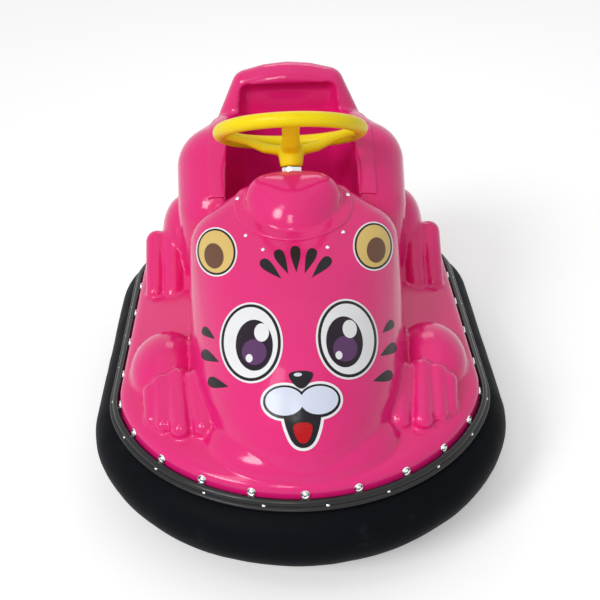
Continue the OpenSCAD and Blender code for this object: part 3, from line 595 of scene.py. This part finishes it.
def makeCowl(c):
    lip = hullObject("cowlLip", headPoints(body, c["lipRise"]))
    cutBy(lip, prism("lipCut", circleLoop(*c["lip"], 128), *c["lipCut"]), "INTERSECT")
    bm = bmeshOf(lip)
    bpy.data.objects.remove(lip)
    hullInto(bm, ballPairs(c["balls"], 0, c["rings"]))
    dome = blendForms(objectFrom(bm, "columnCowl"), c["voxel"], c["rounds"])
    cutBy(dome, hullObject("cowlInside", ballPairs(c["balls"], -c["wall"], c["rings"])))
    cutBy(dome, hullObject("cowlUnder", headPoints(body, c["seatGap"])))
    cutBy(dome, prism("cowlBack", rectLoop(*c["back"]), *c["backCut"]))
    hole = [columnPoint(d, side) for d in (c["boreFrom"], 0) for side in circleLoop(0, 0, c["collarHole"], 48)]
    cutBy(dome, hullObject("cowlBore", np.array(hole)))
    return dress(dome, "shellPink", c["sharp"])


columnCowl = makeCowl(cowl)
print("cowl faces:", len(columnCowl.data.polygons))

# the seat moulding: the block that it covers, less the room for the rider, gives its skin
seat = dict(
    wall=4, hiddenShare=0.62, lip=40, lipRise=4.6, gap=5.3, startY=156, topZ=900,
    back=[((0, 484, 712), 40), ((53, 484, 707.5), 40), ((106, 484, 694), 40), ((160, 472, 565), 45)], backMargin=14,
    recess=[((100, 448, 686), 22), ((108, 417.7, 400), 22), ((132, 384, 694), 22), ((121, 375.7, 400), 22)],
    pan=360, panFront=220, legFront=-90, floorZ=103.6, floorTop=108.3,
    foot=((115, 90, 30), (125, 170, 37)), footMargin=4,
    deep=70, deepZ=(30, 300), frontBlock=(320, -60, 240), frontZ=(20, 210),
    roomVoxel=4.0, roomRounds=12, voxel=4.8, rounds=5)


def makeSeat(s):
    lifted = [(c, r + s["lipRise"]) for c, r in body["barrel"]]
    bm = bmesh.new()
    for pts in (ballPairs(lifted), ballPairs(s["back"]), atHeights(hullLoop(body["cockpit"], s["deep"]), *s["deepZ"]),
                atHeights(rectLoop(*s["frontBlock"]), *s["frontZ"])):
        hullInto(bm, pts)
    block = blendForms(objectFrom(bm, "seatMoulding"), s["voxel"], 0)
    half = body["cockpit"][0][0] + body["cockpit"][0][2] - s["gap"]
    legs = [(x, y) for x in (-half, half) for y in (s["legFront"], s["panFront"])]
    room = bmesh.new()
    for pts in (atHeights(hullLoop(body["cockpit"], -s["gap"]), s["pan"], s["topZ"]), ballPairs(s["recess"]),
                atHeights(legs, s["floorTop"], s["topZ"])):
        hullInto(room, pts)
    cutBy(block, blendForms(objectFrom(room, "seatRoom"), s["roomVoxel"], s["roomRounds"]))
    blendForms(block, s["voxel"], s["rounds"])
    skin = surfaceOf(block)
    lip = [p for p in hullLoop(body["cockpit"], s["lip"]) if p[1] >= s["startY"]]
    area = hullObject("seatArea", atHeights(lip, s["floorZ"], s["topZ"]))
    cutBy(area, hullObject("backArea", ballPairs(s["back"], s["backMargin"])), "UNION")
    foot = atHeights(hullLoop(s["foot"]), s["floorZ"], s["floorTop"] + s["footMargin"])
    cutBy(area, hullObject("footArea", foot), "UNION")
    cutBy(block, area, "INTERSECT")
    keepOn(block, skin)
    return dress(thicken(block, s["wall"], s["hiddenShare"]), "shellPink")


seatMoulding = makeSeat(seat)
print("seat faces:", len(seatMoulding.data.polygons))

# the bumper ring and its trim; the groove's points are (back from the outer edge, up)
bumper = dict(
    tube=160, clear=60, flat=4, sides=48, sharp=50,
    slack=dict(scale=0.011, wave=1.8, waveTop=0.25, waveDrop=0.35, waveTall=1.4,
               fold=0.9, foldWide=2.1, foldTall=0.9, foldFrom=(7, 3, 1), outward=0.7),
    reach=28, rimLift=0.5, rimWall=5, stripGap=0.3, stripWidth=23, stripRise=11, stripDrop=3,
    bead=8, beadLift=2.4, beadTurn=(-4, 168),
    groove=((2, 0), (0.4, 1), (0, 3), (0.6, 5), (2, 6.2), (4.4, 6.6), (6.6, 7.4)))


def makeTube(b):
    r, low, w = b["tube"] / 2, b["clear"], b["slack"]
    section = []
    for i in range(b["sides"]):
        t = math.tau * i / b["sides"]
        section.append((max(-r + r * math.cos(t), -2 * r + b["flat"]), low + r + r * math.sin(t)))

    # the cover lies in slack waves over the air tube
    def lump(p, out):
        wave = noise.noise(Vector((p.x, p.y, p.z * w["waveTall"])) * w["scale"])
        folded = Vector((p.x * w["foldWide"], p.y * w["foldWide"], p.z * w["foldTall"])) * w["scale"]
        fold = noise.noise(folded + Vector(w["foldFrom"]))
        push = w["wave"] * (min(wave, w["waveTop"]) - w["waveDrop"]) + w["fold"] * min(fold, 0.0)
        return Vector((0, 0, p.z - low - r)) * (push / r) + out * push * w["outward"]

    return sweepRing("bumperTube", section, "bumperRubber", 8, lump)


# a round bead beside the shell's edge, then the groove that the screws sit in
def makeStrip(b):
    edge = -b["tube"] / 2 + b["reach"] + b["stripGap"]
    inner = -body["edgeInset"] + b["stripGap"]
    outer = inner + b["stripWidth"]
    rimTop = b["clear"] + b["tube"] + b["rimLift"]
    base, low = rimTop + b["rimWall"] + b["stripGap"], rimTop - b["stripDrop"]
    section = [(inner, base), (edge, base), (edge, low)]
    section += [(outer - back, low + up) for back, up in b["groove"]]
    for t in np.radians(np.linspace(*b["beadTurn"], 9)):
        section.append((inner + b["bead"] + b["bead"] * math.cos(t),
                        base + b["beadLift"] + (b["stripRise"] - b["beadLift"]) * math.sin(t)))
    return sweepRing("bumperStrip", section, "stripRubber", 9)


bumperTube, bumperStrip = makeTube(bumper), makeStrip(bumper)
for ringPiece in (bumperTube, bumperStrip):
    ringPiece.data.set_sharp_from_angle(angle=math.radians(bumper["sharp"]))
print("bumper made")

# the steering wheel: spokes are (turn, width), their stations (radius, height, half thickness, share of the
# width), the hub's (radius, height), and the cuts go up from a height (radius, height)
wheel = dict(
    spokes=((0, 42), (180, 42), (-90, 46)), thinnest=0.5,
    stations=((16, -44, 11, 1.0), (34, -42, 11, 1.0), (64, -36, 11, 0.92), (103, -17, 11, 0.88),
              (139, -5, 11.5, 0.92), (163, 0, 12, 1.0)),
    hub=((24, -82), (26, -79), (32, -39), (30, -36)), cuts=((22, -50), (10.05, -92)), cutTop=60,
    voxel=2.6, rounds=5, sharp=55)


def turnToColumn(obj):
    a = math.radians(steering["rake"])
    obj.data.transform(Matrix.Translation(Vector(steering["centre"]) * mm) @ Matrix.Rotation(-a, 4, "X"))
    return obj


# turns (radius, height) points about Z
def lathe(name, profile, count):
    verts, faces = [], []
    m = len(profile)
    for i in range(count):
        a = math.tau * i / count
        verts += [(r * math.cos(a), r * math.sin(a), z) for r, z in profile]
        j = (i + 1) % count
        for k in range(m - 1):
            faces.append([i * m + k, j * m + k, j * m + k + 1, i * m + k + 1])
    return faceOutward(newObject(name, verts, faces), 0.001)


def makeWheel(w):
    ringR, tube = (steering["diameter"] - steering["grip"]) / 2, steering["grip"] / 2
    circle = [(ringR + tube * math.cos(t), tube * math.sin(t)) for t in np.linspace(0, math.tau, 33)]
    rim = lathe("rim", circle, 120)
    bm = bmeshOf(rim)
    bpy.data.objects.remove(rim)
    for turn, width in w["spokes"]:
        c, s = math.cos(math.radians(turn)), math.sin(math.radians(turn))
        for ends in zip(w["stations"], w["stations"][1:]):
            pts = []
            for r, z, thick, share in ends:
                for side in np.linspace(-1, 1, 9):
                    y = side * width / 2 * share
                    crown = max(thick * math.sqrt(max(0.0, 1 - abs(side) ** 3)), w["thinnest"])
                    pts += [(r * c - y * s, r * s + y * c, z + up) for up in (crown, -crown)]
            hullInto(bm, np.array(pts))
    turns = np.linspace(0, math.tau, 64, endpoint=False)
    hullInto(bm, np.array([(r * math.cos(a), r * math.sin(a), z) for r, z in w["hub"] for a in turns]))
    made = blendForms(objectFrom(bm, "steeringWheel"), w["voxel"], w["rounds"])
    for radius, z0 in w["cuts"]:
        cutBy(made, prism("wheelCut", circleLoop(0, 0, radius, 64), z0, w["cutTop"]))
    return turnToColumn(dress(made, "wheelYellow", w["sharp"]))


steeringWheel = makeWheel(wheel)
print("steering wheel faces:", len(steeringWheel.data.polygons))

# bolts, screws and rivets: turned profiles of (radius, height)
fasteners = dict(
    cupBolt=[(0, 3.4), (2.2, 3.3), (3.8, 2.6), (4.8, 1.4), (5.1, 0.5), (6.2, 0.9), (7.4, 2.4), (8.6, 2.6),
             (9.4, 1.6), (9.8, 0.0), (9.0, -1.0), (0, -1.0)],
    stripScrew=[(0, 3.3), (2.0, 3.1), (3.6, 2.3), (4.6, 1.1), (4.9, 0.0), (4.2, -1.2), (0, -1.2)],
    rivet=[(0, 2.6), (1.8, 2.4), (3.3, 1.7), (4.1, 0.8), (4.3, 0.0), (6.0, -0.1), (6.2, -0.6), (5.4, -1.2),
           (0, -1.2)],
    capNut=[(0, 7.5), (2.6, 7.0), (4.8, 5.6), (6.2, 3.4), (6.6, 1.4), (9.6, 1.2), (10.2, 0.5), (9.8, -0.8),
            (0, -0.8)])


# instances the source at every point, along the stored facing, each with its own turn and size
def makeFastenerTree(name, source):
    tree, gin, gout = newGroup(name, [
        ("Geometry", "NodeSocketGeometry", None), ("Size", "NodeSocketFloat", 1.0),
        ("Size Spread", "NodeSocketFloat", 0.03), ("Seed", "NodeSocketInt", 4),
        ("Finish", "NodeSocketMaterial", None)], [("Geometry", "NodeSocketGeometry")], "GeometryNodeTree")
    facing = addNode(tree, "GeometryNodeInputNamedAttribute", data_type="FLOAT_VECTOR", in_Name="facing")
    align = addNode(tree, "FunctionNodeAlignRotationToVector", axis="Z")
    spin = addNode(
        tree, "FunctionNodeRandomValue", data_type="FLOAT_VECTOR", in_0=(0, 0, -3.1), in_1=(0, 0, 3.1))
    turn = addNode(tree, "FunctionNodeRotateRotation", rotation_space="LOCAL")
    grow = addNode(tree, "FunctionNodeRandomValue", data_type="FLOAT")
    less = addNode(tree, "ShaderNodeMath", operation="SUBTRACT")
    more = addNode(tree, "ShaderNodeMath", operation="ADD")
    shape = addNode(tree, "GeometryNodeObjectInfo", in_Object=source, in_As_Instance=True)
    put = addNode(tree, "GeometryNodeInstanceOnPoints")
    real = addNode(tree, "GeometryNodeRealizeInstances")
    paint = addNode(tree, "GeometryNodeSetMaterial")
    linkAll(tree, (
        (gin.outputs["Geometry"], put.inputs["Points"]), (shape.outputs["Geometry"], put.inputs["Instance"]),
        (facing.outputs[0], align.inputs["Vector"]), (align.outputs[0], turn.inputs[0]),
        (spin.outputs[0], turn.inputs[1]), (gin.outputs["Seed"], spin.inputs["Seed"]),
        (turn.outputs[0], put.inputs["Rotation"]),
        (gin.outputs["Size"], less.inputs[0]), (gin.outputs["Size Spread"], less.inputs[1]),
        (gin.outputs["Size"], more.inputs[0]), (gin.outputs["Size Spread"], more.inputs[1]),
        (less.outputs[0], grow.inputs[2]), (more.outputs[0], grow.inputs[3]),
        (gin.outputs["Seed"], grow.inputs["Seed"]), (grow.outputs[1], put.inputs["Scale"]),
        (put.outputs[0], real.inputs[0]), (real.outputs[0], paint.inputs[0]),
        (gin.outputs["Finish"], paint.inputs["Material"]), (paint.outputs[0], gout.inputs[0])))
    return tree


def setInput(modifier, label, value):
    for item in modifier.node_group.interface.items_tree:
        if item.in_out == "INPUT" and item.name == label:
            modifier[item.identifier] = value


# spots are (point, facing) pairs
def placeFasteners(name, kind, spots, size=1.0, seed=4):
    source = lathe(kind + "Source", fasteners[kind], 20)
    obj = newObject(name, [p for p, _ in spots], [])
    facing = obj.data.attributes.new("facing", "FLOAT_VECTOR", "POINT")
    facing.data.foreach_set("vector", np.array([tuple(n) for _, n in spots], np.float32).ravel())
    mod = obj.modifiers.new("fasteners", "NODES")
    mod.node_group = makeFastenerTree(kind + "Tree", source)
    for label, value in (("Size", size), ("Seed", seed), ("Finish", finishes["brightSteel"])):
        setInput(mod, label, value)
    baked(obj)
    bpy.data.objects.remove(source)
    obj.data.polygons.foreach_set("use_smooth", [True] * len(obj.data.polygons))
    obj.data.set_sharp_from_angle(angle=math.radians(50))
    return obj


# evenly spaced points round the outline with their outward directions, from the front's middle
def alongPlan(inset, spacing, offset=0.0):
    stations = planStations(2)
    pts = np.array([(x + (r - inset) * math.cos(t), y + (r - inset) * math.sin(t)) for x, y, r, t in stations])
    out = np.array([(math.cos(t), math.sin(t)) for _, _, _, t in stations])
    first = int(np.argmin(pts[:, 1] + np.abs(pts[:, 0]) * 0.001))
    pts, out = np.roll(pts, -first, axis=0), np.roll(out, -first, axis=0)
    pts, out = np.vstack([pts, pts[:1]]), np.vstack([out, out[:1]])
    run = np.r_[0, np.cumsum(np.hypot(*np.diff(pts, axis=0).T))]
    count = round(run[-1] / spacing)
    at = (np.arange(count) / count * run[-1] + offset) % run[-1]
    return [(np.array([np.interp(a, run, pts[:, 0]), np.interp(a, run, pts[:, 1])]),
             np.array([np.interp(a, run, out[:, 0]), np.interp(a, run, out[:, 1])])) for a in at]


bolting = dict(
    spacing=125, lift=0.6, sink=0.3, edgeZ=241, edgeFrom=30, above=1200,
    screwInset=52, screwShift=44, screwZ=225.4, screwLean=0.35, screwUp=0.93,
    headScrews=[(70, -107), (108, -52)], seamBolts=[(126, 67)], tubRivets=[(199, 452), (236, 398)])


# where a ray meets the body's skin, and the skin's normal there
def skinSpot(point, direction, sink=0.0):
    hit, normal, _, _ = bodySkin.ray_cast(Vector(point) * mm, Vector(direction).normalized())
    return (hit / mm + normal * (bolting["lift"] - sink), normal) if hit else None


# spots on the skin under (x, y) places, on both sides
def topSpots(places, sink=0.0):
    return [skinSpot((s * x, y, bolting["above"]), (0, 0, -1), sink) for x, y in places for s in (1, -1)]


edgeSpots, stripSpots = [], []
for p, out in alongPlan(0, bolting["spacing"]):
    outside = p + out * bolting["edgeFrom"]
    edgeSpots.append(skinSpot((outside[0], outside[1], bolting["edgeZ"]), (-out[0], -out[1], 0)))
for p, out in alongPlan(bolting["screwInset"], bolting["spacing"], bolting["screwShift"]):
    lean = out * bolting["screwLean"]
    stripSpots.append((Vector((p[0], p[1], bolting["screwZ"])),
                       Vector((lean[0], lean[1], bolting["screwUp"])).normalized()))
edgeSpots = [spot for spot in edgeSpots if spot]
flangeBolts = placeFasteners("flangeBolts", "cupBolt", edgeSpots)
stripScrews = placeFasteners("stripScrews", "stripScrew", stripSpots, seed=9)
headScrews = placeFasteners("headScrews", "stripScrew", topSpots(bolting["headScrews"], bolting["sink"]), seed=12)
seamBolts = placeFasteners("seamBolts", "capNut", topSpots(bolting["seamBolts"]), size=0.9, seed=5)
tubRivets = placeFasteners("tubRivets", "rivet", topSpots(bolting["tubRivets"], bolting["sink"]), seed=7)
print("bolts:", len(edgeSpots), "strip screws:", len(stripSpots))

# the printed animal face: plain shapes in the plane that faces the viewer, (across, up) in millimetres.
# Ovals are (centre, radii), rims (growth, finish, layer), stripes (root, tip, width).
face = dict(
    pitch=33.9, cell=6.0, lift=0.35, step=0.28, sheet=0.2, start=1500, grazing=-0.12, sharp=60,
    eye=((99, 200), (56, 70)), eyeRims=((10, "white", 0), (6, "black", 1), (0, "white", 2)),
    pupil=((91, 194), (38, 50)), iris=((91, 180), (25.08, 25)),
    glints=(((103, 218), (15, 18)), ((-75, 218), (15, 18)), ((77, 168), (7, 8)), ((-101, 168), (7, 8))),
    muzzle=((34, 84), (37, 27)), muzzleRims=((10, "white", 0), (5, "black", 1)), innerLift=1,
    mouth=((-40, 80), (40, 80), (34, 34), (17, -6), (-17, -6), (-34, 34)), mouthRim=6,
    tongue=((-20, 44), (20, 44), (17, 20), (7, 3), (-7, 3), (-17, 20)),
    nose=((-27, 142), (27, 142), (20, 122), (0, 104), (-20, 122)), noseGlint=((-6, 135), (8, 3.5)),
    ear=((176, 396), (40, 50)), earRims=((8, "white", 0), (4.5, "black", 1), (0, "tan", 2)),
    earInside=((180, 386), (22, 30)), earTurn=-18,
    brow=dict(turns=(-44, -22, 0, 22, 44), up=296, far=(104, 100), near=(46, 44), width=24),
    cheeks=(((205, 226), (176, 206), 20), ((206, 176), (166, 160), 24), ((190, 120), (146, 112), 24)))
facePieces = {}


def oval(centre, radii, turn=0.0, grow=0.0, count=72):
    a, rx, ry = math.radians(turn), radii[0] + grow, radii[1] + grow
    return [(centre[0] + rx * math.cos(t) * math.cos(a) - ry * math.sin(t) * math.sin(a),
             centre[1] + rx * math.cos(t) * math.sin(a) + ry * math.sin(t) * math.cos(a))
            for t in np.linspace(0, math.tau, count, endpoint=False)]


# rounds off a closed polygon's corners
def softened(points, rounds=3):
    p = np.array(points, float)
    for _ in range(rounds):
        q = np.roll(p, -1, axis=0)
        p = np.stack([0.75 * p + 0.25 * q, 0.25 * p + 0.75 * q], axis=1).reshape(-1, 2)
    return [tuple(v) for v in p]


# moves a closed outline outward
def grown(points, distance):
    p = np.array(points, float)
    d = np.roll(p, -1, axis=0) - np.roll(p, 1, axis=0)
    d /= np.hypot(*d.T)[:, None]
    area = (p[:, 0] * np.roll(p[:, 1], -1) - p[:, 1] * np.roll(p[:, 0], -1)).sum()
    return [tuple(v) for v in p + np.c_[d[:, 1], -d[:, 0]] * distance * (1 if area > 0 else -1)]


# a leaf-shaped stripe from a round end to a point
def stripe(root, tip, width):
    a, b = np.array(root, float), np.array(tip, float)
    along = b - a
    across = np.array([-along[1], along[0]]) / np.hypot(*along) * width / 2
    return softened([
        a + across * 0.5 - along * 0.06, a + across + along * 0.12, a + across * 0.8 + along * 0.45,
        b, b, a - across * 0.8 + along * 0.45, a - across + along * 0.12, a - across * 0.5 - along * 0.06])


# lays a flat outline on the body's skin as a thin sheet, layer by layer
def layOn(outline, finish, layer):
    f = face
    e = math.radians(f["pitch"])
    up, ahead = np.array([0, math.sin(e), math.cos(e)]), Vector((0, math.cos(e), -math.sin(e)))
    bm = bmesh.new()
    bm.faces.new([bm.verts.new((x, y, 0)) for x, y in outline])
    lo, hi = np.min(outline, axis=0), np.max(outline, axis=0)
    for axis in (0, 1):
        for v in np.arange(lo[axis] + f["cell"] * 0.5, hi[axis], f["cell"]):
            co, no = [0, 0, 0], [0, 0, 0]
            co[axis], no[axis] = v, 1
            bmesh.ops.bisect_plane(bm, geom=bm.verts[:] + bm.edges[:] + bm.faces[:], plane_co=co, plane_no=no)
    bmesh.ops.triangulate(bm, faces=bm.faces)
    lost = []
    for v in bm.verts:
        start = Vector((v.co.x, 0, 0)) + Vector(up) * v.co.y - ahead * f["start"]
        hit, normal, _, _ = bodySkin.ray_cast(start * mm, ahead)
        if hit and normal.dot(ahead) < f["grazing"]:
            v.co = hit + normal * (f["lift"] + f["step"] * layer) * mm
        else:
            lost.append(v)
    bmesh.ops.delete(bm, geom=lost, context="VERTS")
    bmesh.ops.recalc_face_normals(bm, faces=bm.faces)
    for part in bm.faces:
        if part.normal.dot(ahead) > 0:
            part.normal_flip()
    mesh = bpy.data.meshes.new("sheet")
    bm.to_mesh(mesh)
    bm.free()
    facePieces.setdefault(finish, []).append(mesh)


def bothWays(outline, finish, layer):
    layOn(outline, finish, layer)
    layOn([(-x, y) for x, y in outline][::-1], finish, layer)


def makeFace(f):
    for grow, finish, layer in f["eyeRims"]:
        bothWays(oval(*f["eye"], grow=grow), finish, layer)
    bothWays(oval(*f["pupil"]), "pupil", 3)
    bothWays(oval(*f["iris"]), "violet", 4)
    for glint in f["glints"]:
        layOn(oval(*glint), "white", 5)
    # the muzzle: an open mouth with its tongue, two cheeks and a nose
    (mx, my), mouth = f["muzzle"][0], softened(f["mouth"])
    for (grow, finish, layer), rim in zip(f["muzzleRims"], (grown(mouth, f["mouthRim"]), mouth)):
        for x in (-mx, mx):
            layOn(oval((x, my), f["muzzle"][1], grow=grow), finish, layer)
        layOn(rim, finish, layer)
    layOn(softened(f["tongue"]), "red", 2)
    for x in (-mx, mx):
        layOn(oval((x, my + f["innerLift"]), f["muzzle"][1]), "lavender", 3)
    layOn(softened(f["nose"]), "black", 4)
    layOn(oval(*f["noseGlint"]), "lavender", 5)
    for grow, finish, layer in f["earRims"]:
        bothWays(oval(*f["ear"], f["earTurn"], grow), finish, layer)
    bothWays(oval(*f["earInside"], f["earTurn"]), "brown", 3)
    brow = f["brow"]
    for a in map(math.radians, brow["turns"]):
        root, tip = ((r[0] * math.sin(a), brow["up"] + r[1] * math.cos(a)) for r in (brow["far"], brow["near"]))
        layOn(stripe(root, tip, brow["width"]), "black", 0)
    for mark in f["cheeks"]:
        bothWays(stripe(*mark), "black", 0)
    made = []
    for finish, meshes in facePieces.items():
        bm = bmesh.new()
        for mesh in meshes:
            bm.from_mesh(mesh)
        piece = objectFrom(bm, "face" + finish.capitalize())
        sheet = piece.modifiers.new("sheet", "SOLIDIFY")
        sheet.thickness, sheet.offset = f["sheet"] * mm, -1
        made.append(dress(baked(piece), finish, f["sharp"]))
    return made


faceSheets = makeFace(face)
print("face sheets:", len(faceSheets))

# floor, light and background; panels are (name, place, target, size, power)
studio = dict(
    floorHalf=9000, floorColour=(0.9, 0.9, 0.9), floorRough=0.9, floorSpecular=0.1, floorLift=0.3,
    worldStrength=0.42, seenStrength=1.0, sunFrom=(-1.0, -0.9, 1.0), sunPower=1.2, sunAngle=20,
    panels=(("keyPanel", (-1.25, -1.25, 2.5), (0, 0, 0.3), (0.55, 0.9), 5),
            ("frontPanel", (-0.4, -2.3, 2.0), (0, 0.2, 0.45), (0.4, 0.8), 9),
            ("topPanel", (0, -0.3, 4), (0, 0, 0), (4, 4), 12),
            ("backPanel", (0.2, 2.3, 2.4), (0, 0.2, 0.4), (1.4, 0.8), 7)))


# the high value for what the eye, a mirror or a glass sees, and the low one for all other light
def seenLevel(tree, low, high):
    path = tree.nodes.new("ShaderNodeLightPath")
    level = addNode(tree, "ShaderNodeMix", data_type="FLOAT", in_2=low, in_3=high)
    seen = path.outputs["Is Camera Ray"]
    for kind in ("Is Glossy Ray", "Is Transmission Ray"):
        either = addNode(tree, "ShaderNodeMath", operation="MAXIMUM")
        linkAll(tree, ((seen, either.inputs[0]), (path.outputs[kind], either.inputs[1])))
        seen = either.outputs[0]
    tree.links.new(seen, level.inputs[0])
    return level.outputs[0]


def makeStage(s):
    half = s["floorHalf"]
    corners = [(x, y, 0) for x, y in rectLoop(half, -half, half)]
    floor = newObject("studioFloor", corners, [[0, 1, 2, 3]], smooth=False)
    mat = bpy.data.materials.new("studioFloor")
    mat.use_nodes = True
    shader = mat.node_tree.nodes["Principled BSDF"]
    shader.inputs["Base Color"].default_value = (*s["floorColour"], 1)
    shader.inputs["Roughness"].default_value = s["floorRough"]
    shader.inputs["Specular IOR Level"].default_value = s["floorSpecular"]
    shader.inputs["Emission Color"].default_value = (1, 1, 1, 1)
    mat.node_tree.links.new(seenLevel(mat.node_tree, 0.0, s["floorLift"]), shader.inputs["Emission Strength"])
    floor.data.materials.append(mat)
    world = bpy.data.worlds.new("studio")
    bpy.context.scene.world = world
    world.use_nodes = True
    back = world.node_tree.nodes["Background"]
    back.inputs["Color"].default_value = (1, 1, 1, 1)
    level = seenLevel(world.node_tree, s["worldStrength"], s["seenStrength"])
    world.node_tree.links.new(level, back.inputs["Strength"])
    sun = bpy.data.lights.new("softSun", "SUN")
    sun.energy, sun.angle = s["sunPower"], math.radians(s["sunAngle"])
    lamps = [(sun, s["sunFrom"], (0, 0, 0))]
    for name, place, target, size, power in s["panels"]:
        data = bpy.data.lights.new(name, "AREA")
        data.shape, data.size, data.size_y, data.energy = "RECTANGLE", size[0], size[1], power
        lamps.append((data, place, target))
    for data, place, target in lamps:
        lamp = bpy.data.objects.new(data.name, data)
        lamp.location = place
        lamp.rotation_mode = "QUATERNION"
        lamp.rotation_quaternion = (Vector(target) - Vector(place)).to_track_quat("-Z", "Y")
        bpy.context.scene.collection.objects.link(lamp)


makeStage(studio)

# CAD pieces that stay get their finish by their material slot
slotFinish = dict(
    shell_pink="shellPink", bumper_rubber="bumperRubber", strip_rubber="stripRubber", dark_steel="darkSteel",
    battery_plastic="batteryPlastic", bright_steel="brightSteel", plain_steel="plainSteel", nylon="nylon",
    cast_grey="castGrey", wheel_yellow="wheelYellow", rim_alloy="rimAlloy", tyre_rubber="tyreRubber")
for part in frame["record"]["subparts"]:
    node = frame["nodes"][part["node"]]
    node.data.materials.clear()
    node.data.materials.append(finishes[slotFinish[part["material_slot"]]])

for piece, bodyName, node, slot in (
        (bodyShell, "car", "body_shell", "shell_pink"), (columnCowl, "car", "column_cowl", "shell_pink"),
        (seatMoulding, "car", "seat_shell", "shell_pink"), (bumperTube, "car", "bumper_tube", "bumper_rubber"),
        (bumperStrip, "car", "bumper_strip", "strip_rubber"),
        (steeringWheel, "steering", "steering_wheel", "wheel_yellow"),
        (flangeBolts, "car", None, "bright_steel"), (stripScrews, "car", None, "bright_steel"),
        (headScrews, "car", None, "bright_steel"), (seamBolts, "car", None, "bright_steel"),
        (tubRivets, "car", None, "bright_steel"), *((sheet, "car", None, None) for sheet in faceSheets)):
    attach(piece, bodyName)
    if node:
        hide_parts(node)
bpy.data.objects.remove(bodyForm)
